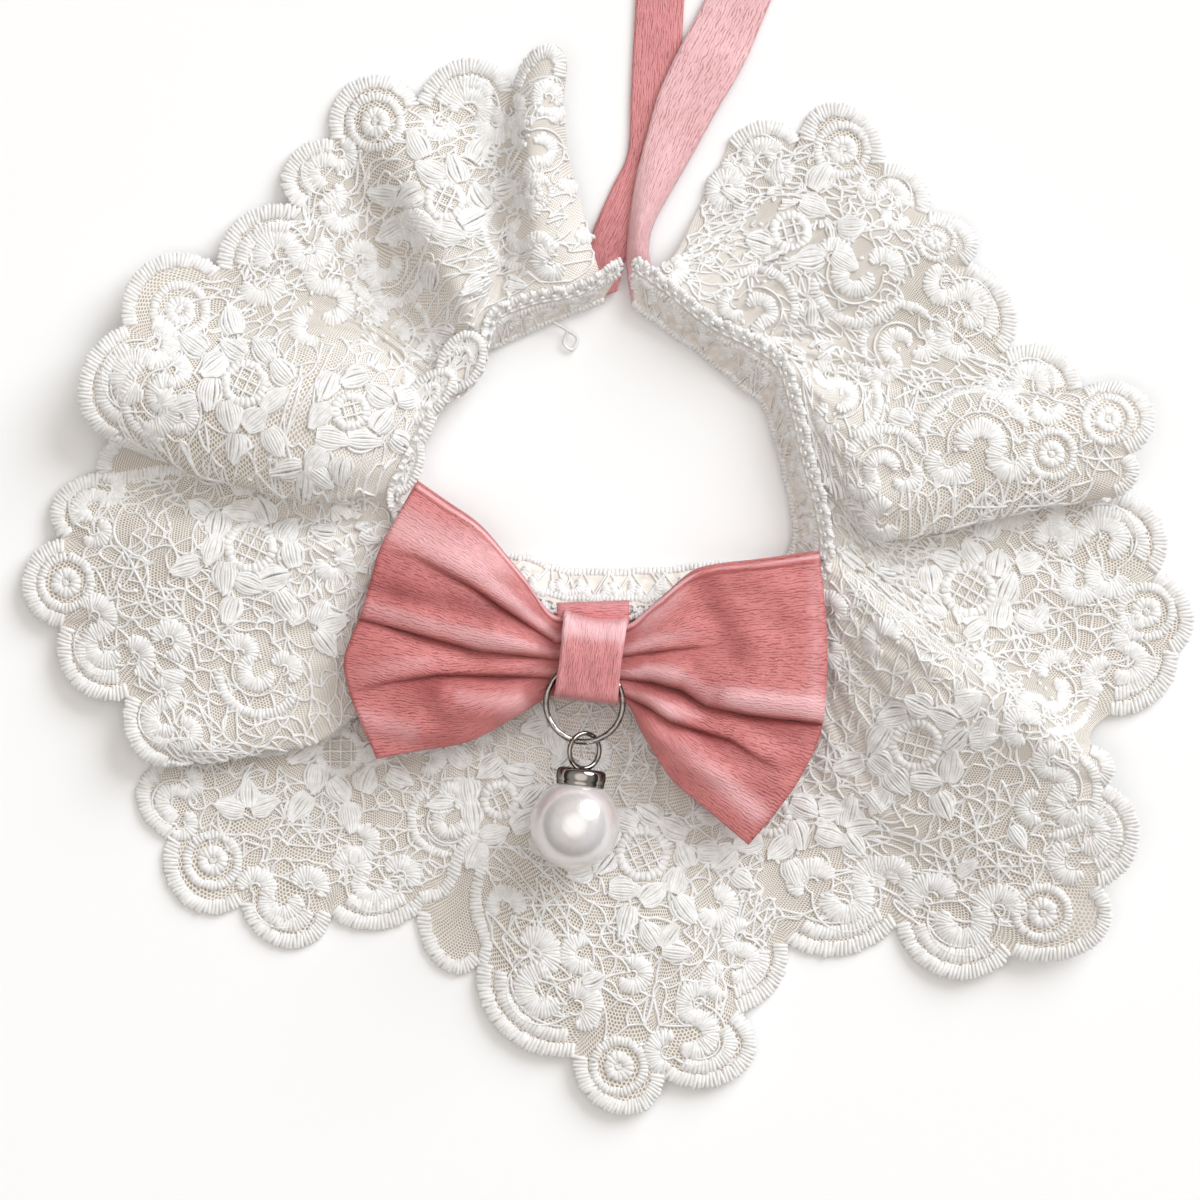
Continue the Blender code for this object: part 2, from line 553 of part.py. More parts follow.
def add(name, shape, mat, place=(0, 0, 0), turn=None, parent=None):
    """A shape in mm as an object; place is in mm too, from the parent's origin if it has one."""
    verts, faces = shape
    mesh = bpy.data.meshes.new(name)
    mesh.from_pydata([tuple(v * MM) for v in verts], [], faces)
    mesh.update()
    work = bmesh.new()
    work.from_mesh(mesh)
    bmesh.ops.triangulate(work, faces=work.faces, quad_method="SHORT_EDGE")
    bmesh.ops.recalc_face_normals(work, faces=work.faces)
    work.to_mesh(mesh)
    work.free()
    mesh.shade_smooth()
    mesh.set_sharp_from_angle(angle=math.radians(45))
    mesh.materials.append(mat)
    made = bpy.data.objects.new(name, mesh)
    bpy.context.scene.collection.objects.link(made)
    made.parent = parent
    made.location = [c * MM for c in place]
    if turn is not None:
        made.rotation_euler = Matrix(turn.tolist()).to_euler()
    return made


def lace_ruffle():
    """The one scalloped lace strip, gathered on the band and thrown into folds."""
    scallops = len(SCALLOPS) - 1
    at = np.linspace(0, scallops, scallops * STEPS_PER_SCALLOP + 1)
    at[-1] -= 1e-9
    grid = lace_surface(at, LACE_ROWS)
    return wall(grid, LACE_WALL, rest=True)


def neck_band():
    """The band of doubled lace heading, leaning outward from its foot."""
    at = np.linspace(1, len(BAND), 4 * (len(BAND) - 1) + 1)
    at[-1] -= 1e-9
    rows = band_rows(at)
    top, foot = rows[:, :3], rows[:, 3:]
    middle = (top + foot) / 2
    grid = np.stack([foot, middle, top], 1)
    return wall(grid, BAND_WALL)


def bow_wing(table, inner_x):
    """A pleated wing of doubled satin from its knot end to its free edge."""
    rows = np.asarray(table, float)
    fine = rounded_through(rows, 3 * (len(rows) - 1) + 1)
    knot, middle, end = fine[:, :3], fine[:, 3:6], fine[:, 6:]
    knot[:, 0] = inner_x
    side = np.sign(end[:, :1] - knot[:, :1])
    wrap_edge = knot + np.concatenate([side * 6.2, side * 0, side * 0], 1)
    slope = (middle[:, 1:2] - knot[:, 1:2]) * 0.04
    wrap_edge[:, 1:2] += slope
    grid = []
    for t in (0.0, 1.0):
        grid.append(knot * (1 - t) + wrap_edge * t)
    for t in (0.2, 0.42, 0.68, 1.0):
        bend = np.clip(t, 0, 1)
        grid.append(wrap_edge * (1 - bend) + middle * bend)
    for t in (0.25, 0.5, 0.75, 1.0):
        grid.append(middle * (1 - t) + end * t)
    return wall(np.stack(grid, 1), SATIN_WALL)


def bow_wrap():
    """The short band of satin round the bow's knot."""
    ring = np.asarray(WRAP_SECTION, float)
    turn = rotation("z", WRAP_TILT_DEG)
    centre = np.array([*WRAP_CENTRE, 0.0])
    grid = []
    for along, height in ring:
        line = []
        for across in (-0.5, -0.25, 0.0, 0.25, 0.5):
            line.append(turn @ np.array([across * WRAP_WIDTH, along, height]) + centre)
        grid.append(line)
    return wall(np.array(grid), WRAP_WALL, closed=True)


def tie(table, lift=0.0):
    """A ribbon lying on the ground, arched where it is drawn narrow."""
    rows = rounded_through(table, 3 * (len(table) - 1) + 1)
    grid = []
    for left_x, left_y, right_x, right_y, height, arch in rows:
        line = []
        for t in (0.0, 0.25, 0.5, 0.75, 1.0):
            rise = max(height, TIE_WALL / 2) + arch * 4 * t * (1 - t)
            line.append((left_x + (right_x - left_x) * t, left_y + (right_y - left_y) * t, rise + lift))
        grid.append(line)
    return wall(np.array(grid), TIE_WALL, rest=True)


def build():
    for o in list(bpy.data.objects):
        bpy.data.objects.remove(o, do_unlink=True)
    lace = material("lace_thread", (0.92, 0.9, 0.87), 0.85, 0.0)
    heading = material("lace_heading", (0.93, 0.9, 0.88), 0.85, 0.0)
    satin = material("pink_satin", (0.77, 0.25, 0.29), 0.5, 0.0)
    light = material("light_pink_satin", (0.9, 0.43, 0.46), 0.5, 0.0)
    steel = material("polished_steel", (0.6, 0.58, 0.56), 0.12, 1.0)
    pearl = material("pearl_shell", (0.9, 0.88, 0.85), 0.12, 0.0)

    add("lace_ruffle", lace_ruffle(), lace)
    add("neck_band", neck_band(), heading)
    add("tie_left", tie(LEFT_TIE), satin)
    add("tie_right", tie(RIGHT_TIE), light)
    add("bow_left", bow_wing(LEFT_WING, -2.4), satin)
    add("bow_right", bow_wing(RIGHT_WING, -1.4), satin)
    add("bow_wrap", bow_wrap(), satin)

    ring_at = np.array([*RING_CENTRE, RING_HEIGHT])
    add("ring", torus(RING_RADIUS, RING_WIRE, 40, 8), steel, ring_at)
    # the pendant swings about the lowest stretch of the ring's wire
    swing = bpy.data.objects.new("pendant_swing", None)
    bpy.context.scene.collection.objects.link(swing)
    swing.location = [c * MM for c in ring_at - np.array([0, RING_RADIUS, 0])]
    lean = rotation("z", -PENDANT_LEAN_DEG)
    along = lean @ rotation("x", -90)
    link_at = np.array([0, -LINK_BELOW_RING, 0.0])
    pearl_at = link_at + lean @ np.array([0, -PEARL_BELOW_LINK, 0.0])
    link_turn = lean @ rotation("y", LINK_TILT_DEG)
    add("pendant_loop", torus(LINK_RADIUS, LINK_WIRE, 24, 8), steel, link_at, link_turn, swing)
    add("pendant_cap", lathe(CAP_SECTION, 24), steel, pearl_at, along, swing)
    add("pearl", lathe(ball_section(PEARL_RADIUS, 14), 24), pearl, pearl_at, along, swing)
    stand_on_origin()


def ball_section(radius, steps):
    section = [(0, -radius)]
    for i in range(1, steps):
        a = math.pi * i / steps
        section.append((radius * math.sin(a), -radius * math.cos(a)))
    return section + [(0, radius)]


def stand_on_origin():
    """Moves the whole collar so that the middle of its base is the origin."""
    bpy.context.view_layer.update()
    placed = [o for o in bpy.context.scene.collection.objects if o.type == "MESH"]
    points = np.array([o.matrix_world @ v.co for o in placed for v in o.data.vertices])
    low, high = points.min(0), points.max(0)
    shift = (-(low[0] + high[0]) / 2, -(low[1] + high[1]) / 2, -low[2])
    for o in bpy.context.scene.collection.objects:
        if o.parent is None:
            o.location = [o.location[i] + shift[i] for i in range(3)]


build()
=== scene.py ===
"""A gathered lace ruffle collar with a satin bow and a pearl, spread flat and dressed for show.

The collar's own sizes and tables are in millimetres, with +Z up from the table and +Y from the bow
to the ties; they are turned into metres when a piece is made.
"""

import math

import bpy
import numpy as np
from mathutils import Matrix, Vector, geometry


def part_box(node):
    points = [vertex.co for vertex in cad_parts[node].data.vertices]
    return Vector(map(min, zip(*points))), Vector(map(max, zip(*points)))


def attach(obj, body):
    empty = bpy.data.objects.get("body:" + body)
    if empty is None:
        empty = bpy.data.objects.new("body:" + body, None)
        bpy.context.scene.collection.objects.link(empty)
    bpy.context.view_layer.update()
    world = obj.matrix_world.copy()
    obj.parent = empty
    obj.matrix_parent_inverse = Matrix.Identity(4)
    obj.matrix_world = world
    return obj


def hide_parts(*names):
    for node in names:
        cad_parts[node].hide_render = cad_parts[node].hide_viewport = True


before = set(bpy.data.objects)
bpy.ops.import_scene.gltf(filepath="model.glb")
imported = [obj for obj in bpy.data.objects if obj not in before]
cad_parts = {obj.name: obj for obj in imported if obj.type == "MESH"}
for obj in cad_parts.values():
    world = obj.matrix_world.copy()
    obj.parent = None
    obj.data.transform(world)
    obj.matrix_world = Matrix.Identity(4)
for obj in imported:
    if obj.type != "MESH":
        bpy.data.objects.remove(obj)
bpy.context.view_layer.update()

MM = 0.001
# the solids' own thicknesses and heights
BAND_WALL = 1.2
LACE_WALL = 1.2
SEAM_GAP = 0.3
SEAM_DROP = 0.5
WRAP_CLOTH = 1.0
LOWEST_TIE = 0.32
# where the scallops start and the gathers end, as shares of the lace's depth
SCALLOP_FROM = 0.6
GATHER_HEIGHT = 0.35
GATHERS_TO = 0.5
# the gathers fade where a fold is steep, by scallop
STEEP_FOLDS_AT = (8.6, 12.8, 27.5, 32.4, 37.4)
STEEP_REACH = 1.1
RING_CENTRE = (-3.1, -20.5, 13.3)

# the band runs clockwise from the right open end, each row a cross section from top edge to foot
BAND = (
    # top_x, top_y, top_z, foot_x, foot_y, foot_z
    (6.6, 66.4, 7.6, 6.8, 58.8, 2.8),
    (12.8, 62.2, 7.6, 11.8, 55.2, 2),
    (22, 55, 7.6, 20.4, 49.2, 0.9),
    (30.6, 50.6, 7.6, 27.6, 43.4, 0.9),
    (36, 46.4, 7.8, 32.8, 39, 0.9),
    (38.8, 37.6, 7.8, 35, 33.2, 0.9),
    (41, 28, 7.8, 37.4, 24.4, 0.9),
    (43.6, 18, 7.6, 38.8, 17.6, 0.9),
    (44.4, 9, 7, 38.8, 11, 0.9),
    (40, 2.4, 5.6, 35, 7, 0.9),
    (27, -0.6, 5.2, 26, 7.4, 0.9),
    (12, -1.4, 5, 12.4, 6, 0.9),
    (1, -1.4, 5, 1, 5.6, 0.9),
    (-9, -0.8, 5, -7.6, 6, 0.9),
    (-17, 1.6, 5.2, -13.4, 8, 0.9),
    (-26.4, 5.6, 5.6, -22.4, 10, 0.9),
    (-35, 12, 6.4, -30.8, 14.4, 0.9),
    (-40.8, 19.6, 7.4, -39.6, 18.8, 0.9),
    (-38.4, 26.8, 8.2, -38.2, 26, 0.9),
    (-35.2, 32.8, 8.4, -35.4, 32, 0.9),
    (-31.4, 39.2, 8.4, -32, 39.2, 0.9),
    (-27.2, 41.8, 8, -28, 42, 0.9),
    (-23.8, 46, 8, -24.8, 45.6, 0.9),
    (-22.6, 51.6, 8, -23.4, 50, 0.9),
    (-20.6, 56.4, 7.8, -20.8, 51, 0.9),
    (-13.6, 59.4, 7.8, -16, 53.2, 0.9),
    (-3.8, 61.6, 7.8, -6.8, 57.2, 2),
    (4.2, 66.4, 7.8, 0, 59.6, 2.8),
)

# the scalloped edge of the lace, clockwise; every scallop ends where the next one starts
SCALLOPS = (
    # kind, start_x, start_y, start_z, tip_x, tip_y, tip_z
    ("scroll", 26, 91.8, 0.8, 33.6, 95.8, 0.8),
    ("flower", 40, 92.6, 0.8, 49.2, 99.2, 0.8),
    ("scroll", 56.8, 87.2, 0.8, 64, 84.4, 1),
    ("flower", 65.6, 77.4, 2.6, 74.4, 73.6, 4.2),
    ("scroll", 73.8, 67.2, 3.4, 82.4, 59.4, 2.4),
    ("scroll", 81, 49.6, 1.4, 91, 50, 1.6),
    ("flower", 96.2, 42.6, 3, 109.2, 40, 8),
    ("fold", 105.6, 29.2, 9, 107, 24.4, 8.4),
    ("fold", 102.6, 20.2, 6.6, 98, 23.8, 4.2),
    ("scroll", 96, 21.2, 2, 110.4, 18, 1.6),
    ("flower", 111.8, 5.8, 1.2, 118.4, -2.4, 1.2),
    ("scroll", 115.4, -10.6, 1.2, 112, -19.4, 1.2),
    ("fold", 102.4, -23, 1.6, 98.4, -26.2, 3.2),
    ("fold", 98, -28.6, 9, 102, -32.4, 11.5),
    ("scroll", 100.8, -36.8, 10.5, 107.2, -47, 9.5),
    ("flower", 99.8, -57.2, 7.6, 98.8, -68.8, 5.4),
    ("scroll", 82, -70.8, 3.8, 69.2, -75.4, 2.2),
    ("scroll", 59.2, -65.2, 0.8, 48.4, -71, 0.6),
    ("scroll", 37.4, -68.8, 0.6, 35.6, -77, 0.8),
    ("scroll", 27.8, -82.4, 1.8, 28.4, -94.4, 2.2),
    ("flower", 12.8, -95.4, 2.4, 3.2, -102.6, 2.4),
    ("scroll", -5.4, -91.2, 2.2, -20, -86.2, 1.8),
    ("join", -24.4, -72.8, 1.2, -31.8, -73.6, 0.8),
    ("scroll", -36.4, -62.6, 0.6, -45.4, -66, 0.6),
    ("scroll", -53.8, -63.2, 0.6, -62.6, -69.6, 0.6),
    ("flower", -71.8, -61, 0.6, -83.6, -60.4, 0.6),
    ("scroll", -86.4, -47.6, 0.6, -92.6, -40.2, 0.8),
    ("join", -90.2, -33.8, 0.7, -83.6, -30, 3),
    ("scroll", -87.2, -33.6, 4.4, -93.8, -28.2, 6.4),
    ("scroll", -94.2, -19.4, 4.8, -105.4, -16.8, 3.6),
    ("flower", -107.6, -5.4, 2.8, -115.4, 3, 2.4),
    ("scroll", -107.6, 12.2, 2.4, -109, 20.2, 1.8),
    ("join", -100.4, 25.2, 1.8, -100, 28.4, 4.2),
    ("scroll", -97.4, 31.6, 8.2, -103.6, 42.8, 11),
    ("flower", -94.8, 54.6, 8, -89.8, 67.4, 5.8),
    ("scroll", -76.2, 66.4, 4, -71.4, 76.6, 3.2),
    ("scroll", -60.2, 78.4, 2.6, -63, 86.6, 2),
    ("flower", -53.6, 92, 1.2, -48.2, 104.2, 1.2),
    ("scroll", -36.4, 99.6, 1, -27, 108.2, 0.8),
    ("fold", -17.6, 102.4, 1.6, -10.8, 111, 7),
    ("end", -6.8, 104.8, 5.4, -6.8, 104.8, 5.4),
)

# the folds of the lace: where each meets the scallops (by number) and the band (by row number),
# and its points at one third and two thirds of the way from the band to the edge
FOLDS = (
    # scallop_at, neck_at, neck_rise, inner_x, inner_y, inner_z, outer_x, outer_y, outer_z
    (0, 1.6, 0, 15.6, 70, 3.2, 21, 81, 1.2),
    (1.5, 2.15, 0, 27, 71.4, 3.4, 39.4, 82, 1.4),
    (2, 2.4, 0, 31.2, 70, 3.4, 43.6, 80, 1.6),
    (2.6, 2.7, 0, 35, 68.4, 4.8, 49.2, 76, 4),
    (3.1, 2.95, 0, 36.6, 66.4, 7.6, 51.6, 72.4, 7.4),
    (3.6, 3.2, 0, 39.4, 62.4, 8.2, 56, 67.6, 7.2),
    (4.3, 3.7, 0, 43.6, 56.8, 6.4, 61, 60, 5.2),
    (5, 4.15, 0, 48, 51, 4.8, 64.4, 51, 3.2),
    (6, 4.9, 0, 50.4, 42.4, 4.4, 71.6, 43, 3.2),
    (6.35, 5.2, 0, 50.4, 38.4, 9.6, 73, 40.2, 9.6),
    (7, 5.9, 0.8, 53.6, 30, 13, 77, 32, 12.4),
    (7.6, 6.7, 1, 56.4, 20, 12.6, 80, 23.2, 11.6),
    (8, 7.35, 0.6, 56.8, 12.8, 8.6, 78.4, 16, 7.8),
    (8.5, 7.65, -0.2, 56.8, 12.4, 5.2, 76, 19, 4.4),
    (9, 7.9, -1, 59.2, 10.2, 2.8, 78, 17, 2),
    (9.6, 8.2, -1.2, 61.2, 6.8, 2.6, 82.4, 11.6, 1.8),
    (10.3, 8.45, -1.2, 63.6, 2, 3.2, 87.6, 2.8, 2.2),
    (11.2, 8.7, -1, 65.2, -3.2, 3.8, 88.8, -7.2, 2.4),
    (12, 8.9, -0.6, 66, -6.8, 5, 84.8, -15.2, 3.4),
    (12.6, 9.05, 0.4, 67.2, -8.4, 10, 84, -18, 9),
    (13, 9.2, 1, 68, -10, 14.4, 84.4, -20, 14.2),
    (13.5, 9.4, 1, 66.8, -13.2, 16, 83.2, -23.6, 15),
    (14.3, 9.7, 0.6, 62.4, -20, 13.2, 81.6, -32.4, 12),
    (15, 9.95, 0, 57.2, -25.6, 9, 76.8, -41.6, 8.2),
    (16, 10.3, 0, 49.2, -30.4, 4.4, 66, -51.2, 4),
    (17, 10.7, 0, 40, -32.8, 1.8, 51, -51.2, 0.8),
    (18, 11.1, 0, 29.6, -33.2, 2, 34, -53.2, 0.8),
    (19, 11.5, 0, 20.8, -34.4, 2.4, 22.8, -61.2, 2.2),
    (20, 11.95, 0, 10.8, -36, 2.4, 12.4, -67.2, 4),
    (21, 12.9, 0, -0.4, -36, 2.4, -1.6, -67.2, 4),
    (22, 14, 0, -15.2, -32.4, 2.4, -19.2, -53.6, 2.8),
    (23, 14.9, 0, -25.2, -27.2, 1.8, -31.6, -48.4, 0.8),
    (24, 15.4, 0, -33.6, -22.4, 1.6, -44.8, -43.2, 0.7),
    (25, 15.85, -0.6, -40.8, -20, 1.2, -57.6, -38.4, 0.7),
    (26, 16.25, -1, -46.4, -19.2, 0.9, -67.6, -30.4, 0.7),
    (26.6, 16.42, -1.2, -49.6, -18.8, 0.8, -72.4, -23.6, 0.8),
    (27.2, 16.58, -1, -50.4, -18, 2.7, -73.8, -22.4, 2.6),
    (27.6, 16.68, -0.5, -50, -20, 4.3, -72.8, -25.6, 4.2),
    (28, 16.8, 0.2, -49.2, -23.4, 5.4, -71.6, -31.2, 5.4),
    (28.5, 16.95, 0.8, -50.6, -19.2, 6.9, -75.6, -27.4, 7.4),
    (29, 17.05, 0.8, -52, -13.6, 7, -77.6, -19.2, 7),
    (30, 17.25, 0.5, -54.8, -2.4, 7, -82, -4.4, 7),
    (31, 17.5, 0.4, -56.8, 7.6, 7.6, -82.8, 10, 8),
    (31.4, 17.62, 0, -58.4, 11.4, 7, -82.4, 14.4, 7),
    (31.75, 17.75, -0.6, -57.6, 14.4, 3, -81.6, 18.4, 2.2),
    (32.1, 17.9, -1, -56.4, 16.8, 2.6, -80, 22, 1.8),
    (32.5, 18.05, -0.6, -56.8, 20, 4.8, -78.4, 26.4, 4),
    (33, 18.25, 0.4, -58.4, 20, 9, -80, 24.8, 8.4),
    (33.3, 18.6, 1, -57.6, 26.4, 13.4, -82, 32, 12.8),
    (33.6, 19.2, 1.2, -55.6, 36, 15.4, -80.8, 40.4, 14.8),
    (34, 20.3, 1, -51, 46.8, 12.6, -77.2, 47.6, 11.6),
    (34.4, 20.8, 0, -49.6, 51.6, 7.2, -74.4, 52.4, 7),
    (35, 21.3, 0, -47.6, 54.4, 5, -66.8, 58.8, 5.2),
    (36, 22, 0, -44.8, 55.6, 3.2, -56.4, 68.4, 3.8),
    (36.6, 22.6, -0.6, -42.4, 56.4, 1.6, -50.8, 73.6, 2.2),
    (37, 23.1, -0.8, -39.6, 58, 1, -46.8, 76.4, 0.8),
    (37.3, 23.6, 0, -36, 62.4, 4.6, -43.2, 80.8, 3.4),
    (37.6, 24.1, 1, -32.4, 67.6, 11.6, -38.4, 84.4, 7.6),
    (38, 24.5, 1, -26.8, 69.2, 12, -30.8, 86.8, 6.4),
    (38.4, 24.85, 0, -22, 69.6, 7.6, -25.2, 88, 3.4),
    (38.8, 25.2, 0, -18.8, 70.8, 3.8, -20.8, 88, 1.8),
    (39.1, 25.6, 0, -16.4, 72.4, 5.6, -18.4, 88.4, 3.8),
    (39.5, 26.4, 0, -11.6, 76, 11.4, -14, 92.4, 10.4),
    (39.8, 27.1, 0, -7.2, 78, 9, -10, 93.2, 8.6),
    (40, 27.55, 0, -4, 78.4, 5, -6.8, 91.2, 5),
)

# ridges and creases of the bow's wings, from the upper edge to the lower one
LEFT_WING = (
    # knot_x, knot_y, knot_z, middle_x, middle_y, middle_z, end_x, end_y, end_z
    (-2.8, -4.2, 9.8, -24.4, 14.6, 9.4, -36.4, 23, 8.8),
    (-2.8, -5.8, 10.4, -24.4, 8.8, 12.8, -39.2, 18.4, 11.4),
    (-2.8, -7.4, 9.8, -25.6, 2, 9.2, -43.6, 10.4, 10.6),
    (-2.8, -9, 10.4, -26.8, -2.8, 12, -45.6, 3.6, 11.2),
    (-2.8, -10.6, 9.8, -27.6, -8, 9.2, -47.4, -2.4, 9.4),
    (-2.8, -12.2, 10.4, -29.2, -12, 11.8, -49.4, -7.4, 11),
    (-2.8, -13.8, 9.8, -30.8, -16.4, 9.2, -50.8, -12.4, 9.6),
    (-2.8, -15.4, 10.4, -29.6, -21.2, 12, -49.6, -18.8, 11),
    (-2.8, -16.8, 10.2, -28, -25.2, 10.6, -46.8, -26, 10),
    (-2.8, -18.2, 9.8, -26.8, -28, 8.6, -44.4, -31.4, 8.2),
)

RIGHT_WING = (
    # knot_x, knot_y, knot_z, middle_x, middle_y, middle_z, end_x, end_y, end_z
    (-1.2, -5.8, 9.8, 20.4, 5.8, 9.4, 43.6, 9, 8.8),
    (-1.2, -7.6, 10.4, 21.2, -0.8, 13, 44.4, 1.6, 11.4),
    (-1.2, -9.4, 9.8, 22.4, -9.2, 9.4, 45, -7.2, 10),
    (-1.2, -11, 10.4, 23.6, -13.6, 12.2, 45, -14.8, 11.2),
    (-1.2, -12.8, 9.8, 23.2, -20, 9.2, 44.4, -23.2, 9.4),
    (-1.2, -14.4, 10.4, 22.4, -23.6, 11.8, 43.2, -28.4, 11),
    (-1.2, -16, 9.8, 20, -28, 9, 39.4, -35.8, 9.4),
    (-1.2, -17.8, 10.4, 17.6, -32.8, 12.2, 34.4, -42.8, 11.2),
    (-1.2, -19.6, 9.8, 14.4, -35.4, 8.8, 29.6, -48.6, 8.2),
)

# cross sections of the ribbon ties from the free end to the sewn end
LEFT_TIE = (
    # left_x, left_y, right_x, right_y, height, arch
    (3.4, 207.2, 12.8, 208.8, 0.5, 0.2),
    (7.2, 174, 17.2, 174, 0.5, 0.3),
    (8.8, 146, 18.6, 146, 0.5, 0.3),
    (7.2, 120, 16.8, 120, 0.5, 0.3),
    (6.2, 101.6, 15.8, 101.2, 0.5, 0.3),
    (5.6, 89.6, 14.4, 87.2, 0.5, 0.4),
    (2.6, 82.8, 11.6, 79.2, 0.5, 0.5),
    (-0.6, 75.6, 8.4, 72, 0.5, 0.6),
    (-2, 70.8, 4.8, 67.6, 0.5, 0.5),
    (-2.4, 65.6, 4, 64, 0.5, 0.3),
    (-3.4, 59.2, 3.4, 61.8, 1.2, 0),
)

RIGHT_TIE = (
    # left_x, left_y, right_x, right_y, height, arch
    (47.2, 204.8, 57, 202.4, 0.5, 0.2),
    (42.4, 174, 52.2, 172.4, 0.5, 0.3),
    (33.6, 146, 43.2, 142.8, 0.6, 0.4),
    (20.8, 119.6, 32.4, 115.6, 1, 0.4),
    (15.8, 110, 28.2, 106, 2, 0.5),
    (11.8, 101.2, 23.2, 97.6, 2.2, 0.6),
    (9.4, 92.8, 18.8, 89.6, 2.2, 0.9),
    (7.4, 84.8, 14.8, 82.8, 2.2, 1.6),
    (6.2, 77.2, 10.8, 75.6, 2.2, 2.2),
    (5.6, 71.2, 9.6, 70.4, 2, 1.8),
    (5.4, 66, 10.4, 65.6, 1.9, 0.6),
    (6.2, 60, 11.6, 60.8, 1.6, 0),
)

# the wrap's section on its way round the knot: along the bow's height, above the ground
WRAP_SECTION = (
    # along, height
    (-9.6, 11.0),
    (-9.3, 13.6),
    (-8.0, 14.9),
    (-3.0, 15.5),
    (3.0, 15.5),
    (8.2, 14.9),
    (9.4, 13.4),
    (10.2, 10.0),
    (10.9, 7.6),
    (9.8, 6.5),
    (4.0, 6.5),
    (-4.0, 6.5),
    (-8.8, 6.6),
    (-9.6, 7.8),
)
WRAP_CENTRE = (-1.9, -12.1)
WRAP_TILT_DEG = -7.0
WRAP_WIDTH = 12.8


# ---------------------------------------------------------------- small tools


def unit(v):
    """The same directions, each one unit long."""
    return v / np.maximum(np.linalg.norm(v, axis=-1, keepdims=True), 1e-9)


def hump(x, middle, reach):
    """A soft hump that is 1 high at its middle."""
    return np.exp(-(((x - middle) / reach) ** 2))


def squared(way):
    """Square to a direction in the table's plane, on its right."""
    return np.array([way[1], -way[0]])


def aimed(turn, along, out):
    """The direction that is turned this far from along towards out."""
    return math.cos(turn) * along + math.sin(turn) * out


def spread(turn, radius):
    """Points in the table's plane, by their turn and distance from the origin."""
    return np.stack([np.cos(turn), np.sin(turn)], -1) * radius[..., None]


def round_about(centre, turn, radius, along, out):
    """Points round a centre: 0 lies along, a quarter turn lies outward."""
    x, y = (np.cos(turn) * radius)[:, None], (np.sin(turn) * radius)[:, None]
    return centre + x * along + y * out


# ---------------------------------------------------------------- the drape's own curves


def hermite(t, wide, first, last, leaving, arriving):
    """A cubic between two rows of values with these slopes, at shares t of the way."""
    return (
        (2 * t**3 - 3 * t**2 + 1) * first
        + (t**3 - 2 * t**2 + t) * wide * leaving
        + (3 * t**2 - 2 * t**3) * last
        + (t**3 - t**2) * wide * arriving
    )


def smooth_through(at, values, wanted):
    """Monotone cubic interpolation of rows of values, so folds keep their stated extremes."""
    at, values = np.asarray(at, float), np.asarray(values, float)
    if values.ndim == 1:
        values = values[:, None]
    wide = np.diff(at)[:, None]
    slope = np.diff(values, axis=0) / wide
    tangent = np.zeros_like(values)
    tangent[0], tangent[-1] = slope[0], slope[-1]
    before, after = slope[:-1], slope[1:]
    a, b = 2 * wide[1:] + wide[:-1], wide[1:] + 2 * wide[:-1]
    same = before * after > 0
    safe_b, safe_a = np.where(same, before, 1.0), np.where(same, after, 1.0)
    tangent[1:-1] = np.where(same, (a + b) / (a / safe_b + b / safe_a), 0.0)
    k = np.clip(np.searchsorted(at, wanted, side="right") - 1, 0, len(at) - 2)
    t = (np.asarray(wanted, float)[:, None] - at[k][:, None]) / wide[k]
    return hermite(t, wide[k], values[k], values[k + 1], tangent[k], tangent[k + 1])


def catmull(p, at):
    """Catmull-Rom curve through rows of p at row numbers counted from 0."""
    p = np.asarray(p, float)
    p = np.vstack([2 * p[0] - p[1], p, 2 * p[-1] - p[-2]])
    k = np.clip(np.floor(at).astype(int), 0, len(p) - 4)
    t = (np.asarray(at, float) - k)[:, None]
    a, b, c, d = p[k], p[k + 1], p[k + 2], p[k + 3]
    return 0.5 * (
        2 * b + (c - a) * t + (2 * a - 5 * b + 4 * c - d) * t**2 + (3 * b - a - 3 * c + d) * t**3
    )


def band_rows(at):
    """Top and foot of the band at row numbers counted from 1."""
    return catmull(BAND, np.asarray(at, float) - 1)


def neck_seam(at):
    """Where the lace is sewn on, just outside the top edge of the band."""
    step = 0.02
    here = band_rows(at)
    along = band_rows(np.minimum(at + step, len(BAND))) - band_rows(np.maximum(at - step, 1))
    away = BAND_WALL / 2 + LACE_WALL / 2 + SEAM_GAP
    seam = here[:, :3].copy()
    seam[:, :2] -= unit(squared(along.T).T) * away
    seam[:, 2] -= SEAM_DROP
    return seam


SCALLOP_KIND = [row[0] for row in SCALLOPS]
SCALLOP_POINTS = np.array([row[1:] for row in SCALLOPS], float)
LAST_SCALLOP = len(SCALLOPS) - 1


def scallop_parts(k):
    """A scallop's middle, half chord, rise to its tip and half angle of its arc."""
    start, end = SCALLOP_POINTS[k, :3], SCALLOP_POINTS[k + 1, :3]
    tip = SCALLOP_POINTS[k, 3:]
    middle, half = (start + end) / 2, (end - start) / 2
    rise = tip - middle
    chord = np.maximum(np.linalg.norm(half[..., :2], axis=-1), 1e-9)
    depth = np.abs(half[..., 0] * rise[..., 1] - half[..., 1] * rise[..., 0]) / chord
    swing = 2 * np.arctan(np.clip(depth / chord, 0.05, 1.0))
    return middle, half, rise, swing


def lace_edge(at):
    """The scalloped edge as a chord point and an outward rise; each scallop is an arc."""
    k = np.clip(np.floor(at).astype(int), 0, LAST_SCALLOP - 1)
    middle, half, rise, swing = scallop_parts(k)
    turn = (2 * (at - k) - 1) * swing
    along = (np.sin(turn) / np.sin(swing))[:, None]
    height = ((np.cos(turn) - np.cos(swing)) / (1 - np.cos(swing)))[:, None]
    return middle + half * along, rise * height


